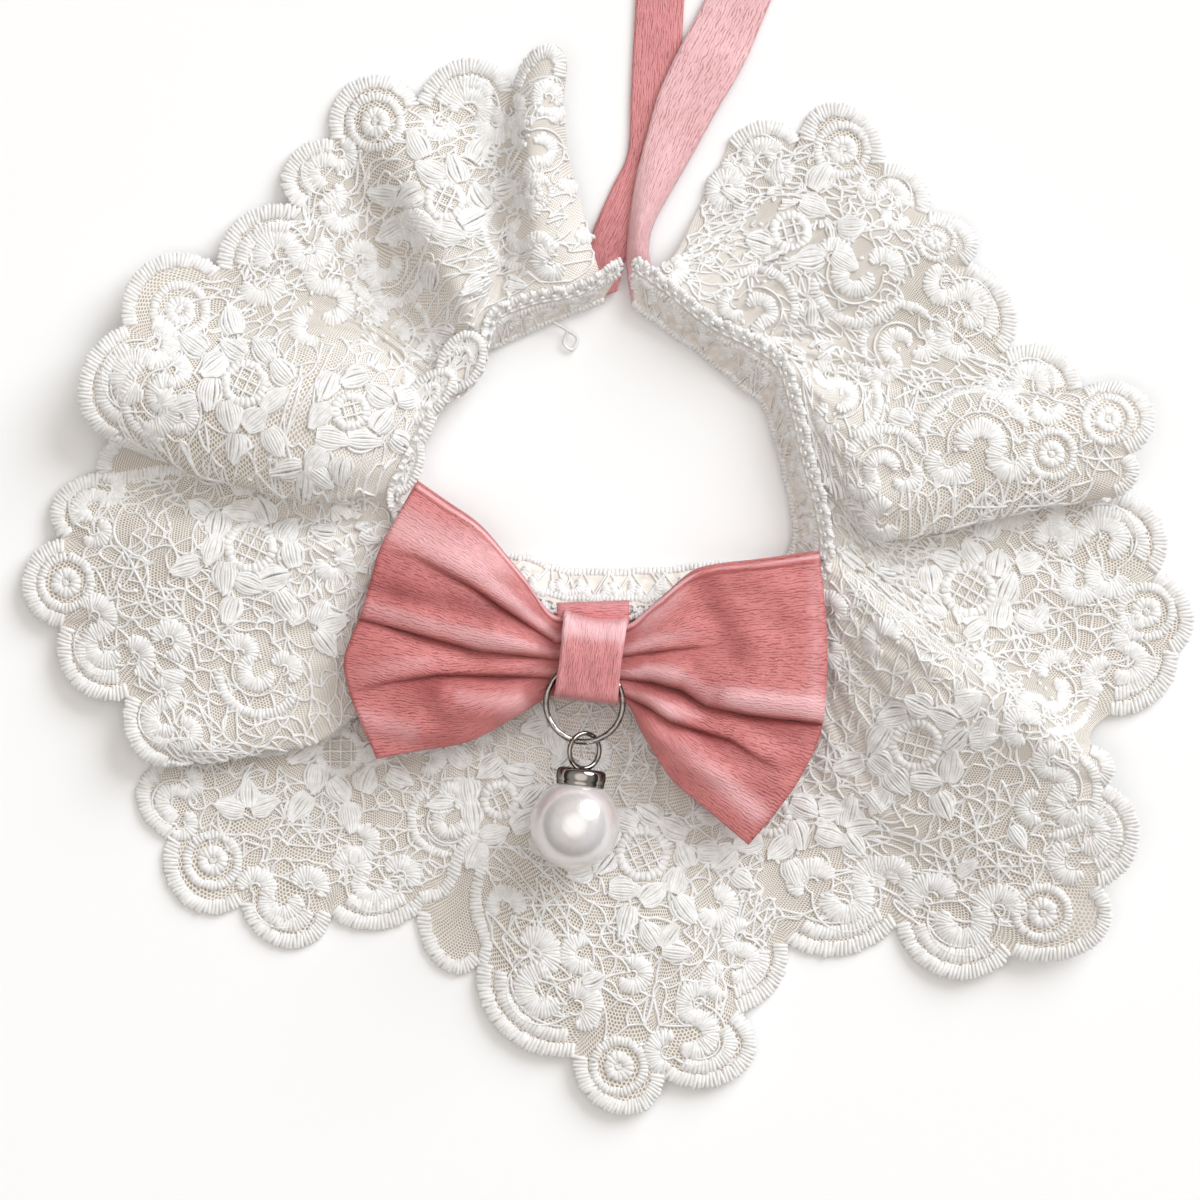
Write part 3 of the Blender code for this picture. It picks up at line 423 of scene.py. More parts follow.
def edge_headings(outer):
    """Unit directions in which the cloth meets its scalloped edge, one for each scallop."""
    middle, _, rise, _ = scallop_parts(np.arange(LAST_SCALLOP))
    rise, run = unit(rise[:, :2]), unit(middle[:, :2] - outer)
    follows = (rise * run).sum(1)[:, None] > 0.3
    return unit(run + np.where(follows, 1.6 * rise, 0.0))


def smooth_in_plane(knots, stack, last_tangent, rows):
    """Cubic through the four stations of every fold, with plain difference tangents."""
    tangent = np.empty_like(stack)
    tangent[0] = (stack[1] - stack[0]) / (knots[1] - knots[0])
    tangent[-1] = last_tangent
    for i in range(1, len(knots) - 1):
        tangent[i] = (stack[i + 1] - stack[i - 1]) / (knots[i + 1] - knots[i - 1])
    out = []
    for r in rows:
        k = min(int(r * (len(knots) - 1)), len(knots) - 2)
        wide = knots[k + 1] - knots[k]
        t = (r - knots[k]) / wide
        out.append(hermite(t, wide, stack[k], stack[k + 1], tangent[k], tangent[k + 1]))
    return np.array(out)


def lace_surface(at, rows):
    """Middle surface of the lace, indexed by place along the edge and by row."""
    folds = np.asarray(FOLDS, float)
    seam_at, inner, outer = (
        smooth_through(folds[:, 0], folds[:, first:last], at)
        for first, last in ((1, 3), (3, 6), (6, 9))
    )
    neck = neck_seam(seam_at[:, 0])
    neck[:, 2] += seam_at[:, 1]
    base, rise = lace_edge(at)
    for part in (inner, outer, base):
        part[:, 2] = np.maximum(part[:, 2], LACE_WALL / 2)
    middles = np.arange(LAST_SCALLOP) + 0.5
    headings = edge_headings(smooth_through(folds[:, 0], folds[:, 6:8], middles))
    heading = smooth_through(middles, headings, np.clip(at, middles[0], middles[-1]))
    stack = np.stack([neck, inner, outer, base])
    knots = np.array([0.0, 1 / 3, 2 / 3, 1.0])
    reach = np.linalg.norm(base[:, :2] - outer[:, :2], axis=1)[:, None]
    flat = smooth_in_plane(knots, stack[:, :, :2], heading * reach * 3, rows)
    height = smooth_through(knots, stack[:, :, 2], np.asarray(rows))
    grid = np.concatenate([flat, height[:, :, None]], 2)
    gathers = GATHER_HEIGHT * np.sin(2 * np.pi * at)
    for steep in STEEP_FOLDS_AT:
        gathers *= 1 - hump(at, steep, STEEP_REACH)
    for row, r in enumerate(rows):
        if r < GATHERS_TO:
            grid[row, :, 2] += gathers * np.sin(np.pi * (r / GATHERS_TO) ** 0.7)
        grid[row] += rise * max(0.0, (r - SCALLOP_FROM) / (1 - SCALLOP_FROM)) ** 2
    return grid.transpose(1, 0, 2)


def grid_normals(grid, easing=2, closed=False):
    """Unit normals of a grid of points, from the areas of the faces round each point."""
    after = np.roll(grid, -1, 0) if closed else grid[1:]
    here = grid if closed else grid[:-1]
    area = np.cross(after[:, 1:] - here[:, :-1], here[:, 1:] - after[:, :-1])
    total = np.zeros_like(grid)
    rows = len(area)
    total[:rows, :-1] += area
    total[:rows, 1:] += area
    if closed:
        total[:, :-1] += np.roll(area, 1, 0)
        total[:, 1:] += np.roll(area, 1, 0)
    else:
        total[1:, :-1] += area
        total[1:, 1:] += area
        for _ in range(easing):
            smooth = unit(total)
            total = smooth.copy()
            total[1:] += smooth[:-1]
            total[:-1] += smooth[1:]
    return unit(total)


# ---------------------------------------------------------------- the drape as a place to sew on

SHIFT = np.array((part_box("ring")[0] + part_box("ring")[1]) / 2) / MM - np.array(RING_CENTRE)
# how far it is along a scallop and from the neck to the edge, on average
EDGE_PITCH = 17.0
LACE_DEPTH = 72.0
COLUMNS_PER_SCALLOP = 14
DEPTH_ROWS = 57
COCKLE = 0.28
NECK_PLEATS = 0.28
PLEATS_PER_SCALLOP = 2.5
PLEATS_TO = 0.55
LOWEST_LACE = 0.62
# how a place is looked for on the cloth: steps, stiffness and longest stride in mm
FIND_STEPS = 16
FIND_STIFFNESS = 0.02
FIND_STRIDE = 4
# how near a point the topmost layer is looked for, in mm
TOP_WITHIN = 1.3
# a path on the lace breaks where it jumps to another fold or misses the cloth by this much, in mm
JUMP = 3.5
MISS = 0.35


def draped_lace():
    """The lace's middle surface with its cockles and small gathers, by scallop and depth."""
    at = np.linspace(0, LAST_SCALLOP, LAST_SCALLOP * COLUMNS_PER_SCALLOP + 1)
    depth = np.linspace(0, 1, DEPTH_ROWS)
    places = at.copy()
    places[-1] -= 1e-9
    grid = lace_surface(places, depth)
    a, d = at[:, None], depth[None, :]
    cockle = np.sin(2.7 * a + 9 * d + 1.3 * np.sin(1.9 * a))
    cockle = cockle * np.sin(11 * d + 1.7 * np.sin(0.8 * a))
    cockle += 0.6 * np.sin(5.3 * a - 7 * d + 2 * np.sin(0.7 * a)) * np.sin(6.1 * d + 0.4 * a)
    pleat = np.sin(2 * np.pi * PLEATS_PER_SCALLOP * a + 1.4 * np.sin(1.1 * a) + 2.0 * d)
    share = np.sin(np.pi * np.clip(d / PLEATS_TO, 0, 1)) ** 0.8
    height = COCKLE * cockle * np.clip(d * 3, 0, 1) + NECK_PLEATS * pleat * share
    grid = grid + grid_normals(grid) * height[:, :, None]
    grid[:, :, 2] = np.maximum(grid[:, :, 2], LOWEST_LACE)
    return at, depth, grid


class Drape:
    """A cloth's middle surface, read by two numbers: how far along it and how deep."""

    def __init__(self, at, depth, grid):
        self.at, self.depth, self.points = at, depth, grid
        self.normals = grid_normals(grid)
        self.slope_at = np.gradient(grid, at, axis=0)
        self.slope_depth = np.gradient(grid, depth, axis=1)

    def read(self, field, at, depth):
        """A field of the cloth between its stored places."""
        i = np.clip((at - self.at[0]) / (self.at[1] - self.at[0]), 0, len(self.at) - 1.001)
        j = np.clip(depth / (self.depth[1] - self.depth[0]), 0, len(self.depth) - 1.001)
        a, b = i.astype(int), j.astype(int)
        u, v = (i - a)[..., None], (j - b)[..., None]
        near = field[a, b] * (1 - v) + field[a, b + 1] * v
        far = field[a + 1, b] * (1 - v) + field[a + 1, b + 1] * v
        return near * (1 - u) + far * u

    def find(self, at, depth, wanted):
        """Walks from a first guess to the places over the wanted x, y, and how far off they end."""
        at, depth = (
            np.broadcast_to(np.array(v, float), wanted.shape[:-1]).copy() for v in (at, depth)
        )
        for _ in range(FIND_STEPS):
            off = wanted - self.read(self.points, at, depth)[..., :2]
            p = self.read(self.slope_at, at, depth)[..., :2] / EDGE_PITCH
            q = self.read(self.slope_depth, at, depth)[..., :2] / LACE_DEPTH
            pp, qq = ((v * v).sum(-1) + FIND_STIFFNESS for v in (p, q))
            pq, po, qo = ((v * w).sum(-1) for v, w in ((p, q), (p, off), (q, off)))
            det = pp * qq - pq * pq
            on, down = (qq * po - pq * qo) / det, (pp * qo - pq * po) / det
            at += np.clip(on, -FIND_STRIDE, FIND_STRIDE) / EDGE_PITCH
            depth += np.clip(down, -FIND_STRIDE, FIND_STRIDE) / LACE_DEPTH
            at, depth = np.clip(at, 0, LAST_SCALLOP), np.clip(depth, 0, 1)
        miss = np.linalg.norm(wanted - self.read(self.points, at, depth)[..., :2], axis=-1)
        return at, depth, miss

    def top(self, x, y):
        """The place on the topmost layer of the lace over a point, or None off the cloth."""
        off = np.hypot(self.points[:, :, 0] - x, self.points[:, :, 1] - y)
        height = np.where(off < TOP_WITHIN, self.points[:, :, 2] - off, -np.inf)
        i, j = np.unravel_index(np.argmax(height), height.shape)
        return (self.at[i], self.depth[j]) if np.isfinite(height[i, j]) else None

    def lay(self, at, depth):
        """Points on the cloth and the directions that stand out of it there."""
        return self.read(self.points, at, depth), unit(self.read(self.normals, at, depth))


drape = Drape(*draped_lace())
chance = np.random.default_rng(41)


def resample(points, normals, pitch, width):
    """Points and normals at an even pitch, taken along the longer side of a band of this width."""
    side = np.cross(normals, unit(np.gradient(points, axis=0))) * width / 2
    step = [np.linalg.norm(np.diff(points + way * side, axis=0), axis=1) for way in (-1, 0, 1)]
    far = np.concatenate([[0], np.cumsum(np.max(step, 0))])
    wanted = np.linspace(0, far[-1], max(2, int(round(far[-1] / pitch)) + 1))
    at, up = (
        np.stack([np.interp(wanted, far, rows[:, i]) for i in range(3)], 1)
        for rows in (points, normals)
    )
    return at, unit(up), wanted / max(far[-1], 1e-9)


class Stitches:
    """Thread stitches laid down one by one: where each is, how it lies and how big it is."""

    def __init__(self):
        self.rows = []

    def put(self, at, along, up, *sizes):
        """Adds stitches with their length, width and height."""
        size = np.stack([np.broadcast_to(v, len(at)) for v in sizes], 1)
        self.rows.append((at, along, up, size))

    def satin(self, points, normals, width, pitch=0.88, height=1.1, slant=0.14, taper=0.0):
        """A run of stitches across a path, like a corded edge or a scroll."""
        if len(points) < 3:
            return
        at, up, share = resample(points, normals, pitch, width)
        n = len(at)
        if n < 3:
            return
        run = unit(np.gradient(at, axis=0))
        lean = slant + chance.normal(0, 0.09, n)
        across = unit(np.cross(up, run) + run * lean[:, None])
        wide = width * (1 + chance.normal(0, 0.06, n))
        if taper:
            wide = wide * np.clip(0.5 + share / taper, 0, 1)
            wide = wide * np.clip(0.5 + (1 - share) / taper, 0, 1)
        at = at + across * chance.normal(0, 0.07, n)[:, None]
        thick = pitch * (1.14 + chance.normal(0, 0.08, n))
        self.put(at, across, up, wide, thick, height * (1 + chance.normal(0, 0.06, n)))

    def made(self):
        return [np.concatenate(part) for part in zip(*self.rows)]


class Threads:
    """Fine threads, each a line of points with a radius."""

    def __init__(self):
        self.lines, self.radii = [], []

    def line(self, points, radius):
        if len(points) > 1:
            self.lines.append(np.asarray(points, float))
            self.radii.append(np.broadcast_to(radius, len(points)).astype(float))


def on_lace(at, depth, path):
    """A path in x, y dropped on the lace near a first guess: its longest unbroken stretch."""
    a, d, miss = drape.find(at, depth, path)
    jump = np.hypot(np.diff(a) * EDGE_PITCH, np.diff(d) * LACE_DEPTH) > JUMP
    good = (miss < MISS) & ~np.append(jump, False)
    ends = np.flatnonzero(np.diff(np.concatenate([[0], good, [0]]))).reshape(-1, 2)
    first, last = max(ends.tolist(), key=lambda run: run[1] - run[0], default=(0, 0))
    points, up = drape.lay(a, d)
    return points[first:last], up[first:last]


def couch(threads, start, path, lift, *radii):
    """Lays one thread along a path on the lace, this far above it, even or thinning."""
    points, up = on_lace(*start, path)
    threads.line(points + up * lift, np.linspace(radii[0], radii[-1], len(points)))


def arc(centre, radius, first, last, along, out, count=40):
    """An arc in a motif's own directions; 0 degrees is along it and 90 points outward."""
    return round_about(centre, np.radians(np.linspace(first, last, count)), radius, along, out)


# ---------------------------------------------------------------- motifs of the scalloped edge

# the cords of the edge: how far in from it and how wide
OUTER_CORD = (1.35, 3.1)
INNER_CORD = (4.6, 2.9)
FINE_THREAD_INSET = 6.5
# a scroll's curls, in half chords of its scallop: where each is, its middle radius, the width of
# its stitched band, and the angles it runs between
CURLS = (
    # along, out, radius, width, first, last
    (0.10, -0.54, 0.33, 0.39, 190.0, -50.0),
    (0.66, -0.82, 0.31, 0.37, -205.0, 0.0),
    (-0.50, -0.80, 0.31, 0.36, -215.0, -20.0),
)
LARGEST_SCROLL = 11.5
LARGEST_FLOWER = 6.4


class Scallop:
    """A scallop's arc in the table's plane: its centre, directions, radius and half chord."""

    def __init__(self, k):
        middle, half, rise, swing = scallop_parts(np.array([k]))
        self.middle, self.half, self.rise = middle[0, :2], half[0, :2], rise[0, :2]
        self.swing = swing[0]
        self.chord = np.linalg.norm(self.half)
        self.radius = self.chord / np.sin(self.swing)
        self.centre = self.middle - self.rise * np.cos(self.swing) / (1 - np.cos(self.swing))
        self.out = self.rise / np.linalg.norm(self.rise)
        self.along = squared(self.out)
        if self.along @ self.half < 0:
            self.along = -self.along


def cord_path(k, inset, trim):
    """A scallop's arc drawn in from its edge, and where on the lace to look for it."""
    own = Scallop(k)
    reach = own.swing * (1 - trim)
    turn = np.linspace(-reach, reach, 48)
    arm = own.half * (np.sin(turn) / np.sin(own.swing))[:, None]
    arm = arm + own.rise * (np.cos(turn) / (1 - np.cos(own.swing)))[:, None]
    at = k + 0.5 + turn / (2 * own.swing) * 0.96
    depth = np.full(len(turn), 1 - inset / LACE_DEPTH)
    return own.centre + arm * max(0.12, 1 - inset / own.radius), (at, depth)


def edge_cords(stitches, outline):
    """The corded edge, and inside a scroll a second cord and a fine thread."""
    for k in range(LAST_SCALLOP):
        scroll = SCALLOP_KIND[k] == "scroll"
        for (inset, width), trim in ((OUTER_CORD, 0.0), (INNER_CORD, 0.1))[: 1 + scroll]:
            path, start = cord_path(k, inset, trim)
            stitches.satin(*on_lace(*start, path), width)
        if scroll:
            path, start = cord_path(k, FINE_THREAD_INSET, 0.14)
            couch(outline, start, path, 0.2, 0.25)


def curls(middle, along, out, size, start, stitches, threads):
    """A scroll between two hooks, and the fine thread that runs round it into both."""
    centres = [middle + (along * row[0] + out * row[1]) * size for row in CURLS]
    for centre, (_, _, radius, width, first, last) in zip(centres, CURLS):
        path = arc(centre, radius * size, first, last, along, out)
        stitches.satin(*on_lace(*start, path), width * size, taper=0.16)
    path = arc(centres[0], 0.62 * size, 190, -16, along, out, 44)
    ends = []
    for centre, away, spin in ((centres[2], path[0], -1), (centres[1], path[-1], 1)):
        turn = np.linspace(0, 1, 22)
        begin = math.atan2((away - centre) @ out, (away - centre) @ along)
        radius = np.linalg.norm(away - centre) * (1 - turn) + 0.1 * size * turn
        ends.append(round_about(centre, begin - spin * turn * 4.2, radius, along, out))
    couch(threads, start, np.vstack([ends[0][::-1], path, ends[1]]), 0.25, 0.27)


def edge_scroll(k, stitches, threads):
    """The scroll that fills a scallop, turned the other way on the right."""
    own = Scallop(k)
    along = -own.along if own.middle[0] > 0 else own.along
    size = min(own.chord, LARGEST_SCROLL)
    lower = np.clip(np.linalg.norm(own.rise) / size - 0.5, -0.25, 0.3)
    start = (k + 0.5, 1 - 7 / LACE_DEPTH)
    curls(own.middle + own.out * lower * size, along, own.out, size, start, stitches, threads)


def rosette(at, along, out, size, start, stitches):
    """A corded ring with a small flower of plump petals standing free in it."""
    for share, wide, pitch in ((0.8, 0.29, 0.88), (0.31, 0.34, 1.3)):
        path = arc(at, share * size, 0, 348, along, out, 60)
        stitches.satin(*on_lace(*start, path), wide * size, pitch, slant=0.0)
    eye = arc(at, 0.06 * size, 0, 240, along, out, 8)
    stitches.satin(*on_lace(*start, eye), 0.9, 0.5, 0.8)


def edge_flower(k, stitches):
    """The flower that fills the scallop at a lobe's tip."""
    own = Scallop(k)
    size = min(own.radius - OUTER_CORD[0] - 1.2, LARGEST_FLOWER)
    at = own.centre
    if own.swing <= 1.1:
        at = own.middle + own.rise - own.out * (size + OUTER_CORD[0] + 1.5)
    start = (k + 0.5, 1 - (size + 2.5) / LACE_DEPTH)
    rosette(at, own.along, own.out, size, start, stitches)


def hook(at, along, out, size, start, stitches, threads):
    """One curl of stitches with a thread round its eye."""
    path = arc(at, 0.6 * size, -40, 215, along, out)
    stitches.satin(*on_lace(*start, path), 0.76 * size, taper=0.14)
    inner = arc(at, np.linspace(0.28, 0.12, 24) * size, -70, 215, along, out, 24)
    couch(threads, start, inner, 0.25, 0.26)


def star(at, size, start, threads):
    """A spider of threads from one knot, crossed by a broken ring."""
    count = int(chance.integers(6, 9))
    turns = 2 * np.pi * (np.arange(count) + chance.normal(0, 0.12, count)) / count
    t = np.linspace(0, 1, 5)
    tips = []
    for turn in turns:
        reach = size * chance.uniform(0.85, 1.15)
        bend = chance.normal(0, 0.12)
        couch(threads, start, at + spread(turn + bend * t, t * reach), 0.2, 0.36, 0.24)
        tips.append((turn + bend * 0.6, reach * 0.6))
    for (a, r), (b, q) in zip(tips, tips[1:] + tips[:1]):
        if chance.random() < 0.75:
            b = b + (2 * np.pi if b < a else 0)
            sag = 1 - 0.5 * t * (1 - t)
            couch(threads, start, at + spread(a + (b - a) * t, (r + (q - r) * t) * sag), 0.2, 0.24)


# ---------------------------------------------------------------- the lace's inner field

# where the wedges of plain net at the joins between lobes begin, as a share of the lace's depth
WEDGE_DEPTH = 0.58
WEDGE_HALF_WIDTH = 0.56

# motifs set one by one on the topmost cloth
MOTIFS = (
    # kind, x, y, way it faces in degrees, size, spin
    ("spray", -69.6, 10.6, 200, 4.2, 1),
    ("spray", 73.6, 2, 15, 4.4, 1),
    ("spray", -52, -30.4, 225, 4, 1),
    ("spray", 8.6, -50.6, 250, 4.4, 1),
    ("spray", -70.4, 43, 200, 3.7, 1),
    ("spray", -49.4, 37.4, 330, 2.9, 1),
    ("spray", 38, 73.6, 60, 3.2, -1),
    ("spray", 62.8, -28.8, 300, 4.2, 1),
    ("spray", -30.8, 79.4, 110, 3.2, 1),
    ("spray", -20, -40, 250, 3, 1),
    ("spray", 34, -43, 280, 3.4, -1),
    ("curls", 74.4, 30.6, 95, 10.5, 1),
    ("curls", -54, 58.4, -15, 9.5, -1),
    ("curls", -42.4, 67.6, -75, 8, 1),
    ("curls", 51.6, 64.6, -100, 9, 1),
    ("curls", 60, 51, 120, 7.5, -1),
    ("curls", 56.6, 26, 100, 7.5, -1),
    ("curls", -67.6, -14.4, -110, 8, 1),
    ("curls", 31, 58, 50, 7.5, 1),
    ("curls", 47.6, 40, 0, 7.5, -1),
    ("curls", -12, 90, 20, 7, 1),
    ("curls", -15.6, 73.6, 200, 7, -1),
    ("curls", 90.4, -18, -30, 8, 1),
    ("curls", -30.4, -43.6, 200, 7, -1),
    ("curls", 90, -38, -20, 8.5, -1),
    ("curls", -41, 54, -20, 6.5, 1),
    ("curls", -86, 40, 190, 8, 1),
    ("rosette", 89.6, 29, 0, 5.6, 1),
    ("rosette", -13.2, 81, 0, 4.2, 1),
    ("hook", 56.2, 16, -160, 4.8, 1),
    ("hook", -37.6, 73.6, 60, 4.6, -1),
    ("hook", 23.2, -61, -30, 4.8, 1),
    ("hook", 56, -8, 140, 4.6, 1),
    ("hook", -10.4, 100, 90, 3.6, 1),
    ("hook", -7.6, 94.4, 30, 4.2, 1),
    ("hook", -5.8, 84.8, -20, 4.4, -1),
    ("hook", -3.4, 74.8, 10, 4.2, 1),
    ("hook", -9.6, 67.6, 200, 4.4, 1),
    ("star", 75, -45.4, 0, 5.5, 1),
    ("star", 61, 10.4, 0, 4.5, 1),
    ("star", -75.8, -7, 0, 5, 1),
    ("star", -92.8, 6.2, 0, 4.5, 1),
    ("star", 63.6, 42, 0, 5, 1),
    ("star", 88, 19, 0, 4.5, 1),
    ("star", 77, 18.6, 0, 4.5, 1),
    ("star", -62, -44.8, 0, 5, 1),
    ("star", 45.4, -31.6, 0, 5.5, 1),
    ("star", 83, -10, 0, 4.5, 1),
    ("star", -11, -61, 0, 5, 1),
    ("plain", 39.4, -54.4, 0, 7, 1),
    ("plain", -39.6, 57.6, 0, 4, 1),
    ("plain", 65, 61.6, 0, 5, 1),
)

# what a motif takes up by its size: how far it keeps others off, and how much of it hides the web
MOTIF_REACH = {
    # kind: times the size and added, for others; times the size and added, for the web
    "spray": (1, 8.5, 1, 4.5),
    "curls": (1.05, 0, 0.7, 0),
    "rosette": (1, 0, 0.9, 0),
    "hook": (1, 0, 0.7, 0),
    "star": (0.8, 0, 0.3, 0),
    "plain": (1, 0, 1, 0),
}

# small motifs that fill what is left free
FILLERS = {
    # kind: how far it keeps others off, how much hides the web, share of the early and late tries
    "leaves": (4.3, 2.9, 0.36, 0.0),
    "hook": (3.6, 2.3, 0.24, 0.0),
    "star": (3.5, 1.2, 0.16, 0.0),
    "sprig": (2.3, 1.4, 0.0, 0.35),
    "web": (2.6, 0.0, 0.24, 0.65),
}
FILL_TRIES = 20000
LATE_TRIES_FROM = 0.6
# how deep the fillers run, on scallops and on folds that have none
FILL_TO = 0.77
FILL_FOLDS_TO = 0.93
# the web: its spacing in mm, and by that spacing its rows, its scatter and its longest bars
WEB_SPACING = 2.65
WEB_ROW = 0.87
WEB_SCATTER = 0.27
WEB_LONGEST = 2.1
WEB_THREAD = 0.29
# shares of its bars that are left out and of its corners that have a knot
WEB_LEFT_OUT = 0.3
WEB_KNOTS = 0.24
# the sprays, in mm: between a leaf's strands, a lattice's threads and the leaves round the eye
STRAND_PITCH = 0.52
LATTICE_PITCH = 2.1
LEAF_PITCH = 5.6
# and the ways their outermost leaves point, in degrees
OUTER_LEAVES = (-10, 35, 90, 145, 190)
# the lace is laid out as part of a flat ring to draw its web
NECK_RADIUS = 36.0
RING_SPAN = 5.9


def in_wedge(at, depth, margin):
    """Whether a place is in one of the plain net wedges at the lobes' joins."""
    at, depth = np.asarray(at), np.asarray(depth)
    share = np.clip((depth - WEDGE_DEPTH) / (1 - WEDGE_DEPTH), 0, 1)
    inside = np.zeros(at.shape, bool)
    for k, kind in enumerate(SCALLOP_KIND):
        if kind == "join":
            inside |= np.abs(at - k - 0.5) < WEDGE_HALF_WIDTH * share - margin
    return inside & (depth > WEDGE_DEPTH)


def wedge_borders(stitches):
    """The corded borders of the lobes, running in from their joins."""
    depth = np.linspace(0.97, WEDGE_DEPTH + 0.02, 40)
    share = (depth - WEDGE_DEPTH) / (1 - WEDGE_DEPTH)
    for k in range(1, LAST_SCALLOP - 1):
        for side in (-1, 1):
            if SCALLOP_KIND[k] == "join" and SCALLOP_KIND[k + side] != "join":
                at = k + 0.5 + side * (0.54 * share + 0.07 * np.sin(share * 9.0))
                stitches.satin(*drape.lay(at, depth), 2.6, taper=0.1)


def from_annulus(p):
    turn = np.arctan2(p[..., 1], p[..., 0]) % (2 * np.pi)
    return turn / RING_SPAN * LAST_SCALLOP, (np.linalg.norm(p, axis=-1) - NECK_RADIUS) / LACE_DEPTH


def web(taken, threads, knots):
    """The irregular mesh of thin threads between the lobes' motifs."""
    covered = np.array(taken)
    reach = NECK_RADIUS + LACE_DEPTH
    rows = int(2 * reach / (WEB_SPACING * WEB_ROW))
    across = int(2 * reach / WEB_SPACING)
    j, i = np.meshgrid(np.arange(rows), np.arange(across), indexing="ij")
    p = [(i + 0.5 * (j % 2)) * WEB_SPACING - reach, j * WEB_SPACING * WEB_ROW - reach]
    p = np.stack(p, -1).reshape(-1, 2)
    p = p + chance.normal(0, WEB_SCATTER * WEB_SPACING, (rows * across, 2))
    at, depth = from_annulus(p)
    keep = (depth > 0.02) & (depth < 0.9) & (at < LAST_SCALLOP - 0.03) & (at > 0.03)
    p = p[keep & ~in_wedge(at, depth, -0.02)]
    result = geometry.delaunay_2d_cdt([Vector(q) for q in p], [], [], 0, 1e-6)
    spots = np.array([tuple(q) for q in result[0]])
    pairs = np.array(result[1])
    length = np.linalg.norm(spots[pairs[:, 0]] - spots[pairs[:, 1]], axis=1)
    keep = (length < WEB_LONGEST * WEB_SPACING) & (chance.random(len(pairs)) > WEB_LEFT_OUT)
    t = np.linspace(0, 1, 4)[:, None]
    for a, b in pairs[keep]:
        side = squared(spots[b] - spots[a])
        bow = chance.normal(0, 0.13)
        path = spots[a] * (1 - t) + spots[b] * t + side * bow * t * (1 - t) * 4
        at, depth = from_annulus(path)
        points, up = drape.lay(at, np.clip(depth, 0, 1))
        off = np.linalg.norm(covered[:, :3] - points[1], axis=1)
        if np.ptp(at) < 1 and (off > covered[:, 4]).all():
            threads.line(points + up * 0.12, WEB_THREAD * (1 + chance.normal(0, 0.12)))
    at, depth = from_annulus(spots)
    pick = chance.random(len(spots)) < WEB_KNOTS
    points, up = drape.lay(at[pick], np.clip(depth[pick], 0, 1))
    turn = unit(np.cross(up, chance.normal(0, 1, points.shape)))
    knots.put(points + up * 0.1, turn, up, 1.0, 0.85, 0.7)


def leaf(threads, start, at, heading, length, width):
    """A leaf of close parallel strands, full in its middle."""
    t = np.linspace(0, 1, 5)
    swell = np.sin(np.pi * (0.16 + 0.72 * t)) ** 0.8
    bend = chance.normal(0, 0.12) * length
    for s in np.linspace(-1, 1, max(4, int(round(width / STRAND_PITCH)))):
        sway = chance.normal(0, 0.02) * width
        reach = length * (1 - 0.2 * s * s) * (1 + chance.normal(0, 0.04))
        off = swell * s * width / 2 + bend * t * (1 - t) + sway
        path = at + (t * reach)[:, None] * heading + off[:, None] * squared(heading)
        couch(threads, start, path, 0.35 * (1 - s * s) + 0.1 + chance.normal(0, 0.015), 0.38)


def spray(centre, along, out, size, start, threads, stitches, lattice):
    """A diamond-filled eye with bullion stitches round it and leaves all about."""
    ring = arc(centre, size * 1.05, 0, 350, along, out, 60)
    stitches.satin(*on_lace(*start, ring), 1.9, 1.3, 1.25, slant=0.0)
    for family in (45, -45):
        way = aimed(math.radians(family), along, out)
        for off in np.arange(-size, size + 0.1, LATTICE_PITCH):
            half = math.sqrt(max(size * size - off * off, 0))
            if half > 0.8:
                t = np.linspace(-half, half, 8)[:, None]
                couch(lattice, start, centre + squared(way) * off + way * t, 0.25, 0.28)
    blocks = int(round(2 * math.pi * (size + 3.4) / LEAF_PITCH))
    for i in range(blocks):
        turn = 2 * math.pi * (i + chance.normal(0, 0.08)) / blocks
        away = aimed(turn, along, out)
        way = aimed(turn + math.pi / 2, along, out) + away * chance.choice([0.45, -0.4, 1.4])
        way = way / np.linalg.norm(way)
        length = chance.uniform(5.4, 6.8)
        root = centre + away * (size + chance.uniform(3.2, 3.9)) - way * length / 2
        leaf(threads, start, root, way, length, chance.uniform(4.2, 5.2))
    for angle in OUTER_LEAVES:
        away = aimed(math.radians(angle + chance.normal(0, 8)), along, out)
        root = centre + away * (size + 6.4)
        leaf(threads, start, root, away, chance.uniform(5.0, 6.6), chance.uniform(4.0, 5.0))


def set_motif(row, threads, stitches, leaves, lattice):
    """Works one motif of the table and returns its place and how much it takes up."""
    kind, x, y, facing, size, spin = row
    start = drape.top(x, y)
    if start is None:
        return None
    out = aimed(math.radians(facing), *np.eye(2))
    along = squared(out) * spin
    at = np.array([x, y])
    if kind == "spray":
        spray(at, along, out, size, start, leaves, stitches, lattice)
    elif kind == "curls":
        curls(at + out * 0.55 * size, along, out, size, start, stitches, threads)
        border = arc(at + out * 0.03 * size, 1.02 * size, 165, 15, along, out)
        stitches.satin(*on_lace(*start, border), 0.26 * size, taper=0.1)
    elif kind == "rosette":
        rosette(at, along, out, size, start, stitches)
    elif kind == "hook":
        hook(at, along, out, size, start, stitches, threads)
    elif kind == "star":
        star(at, size, start, threads)
    a, b, c, d = MOTIF_REACH[kind]
    place = drape.lay(np.array([start[0]]), np.array([start[1]]))[0][0]
    return (*place, size * a + b, size * c + d)


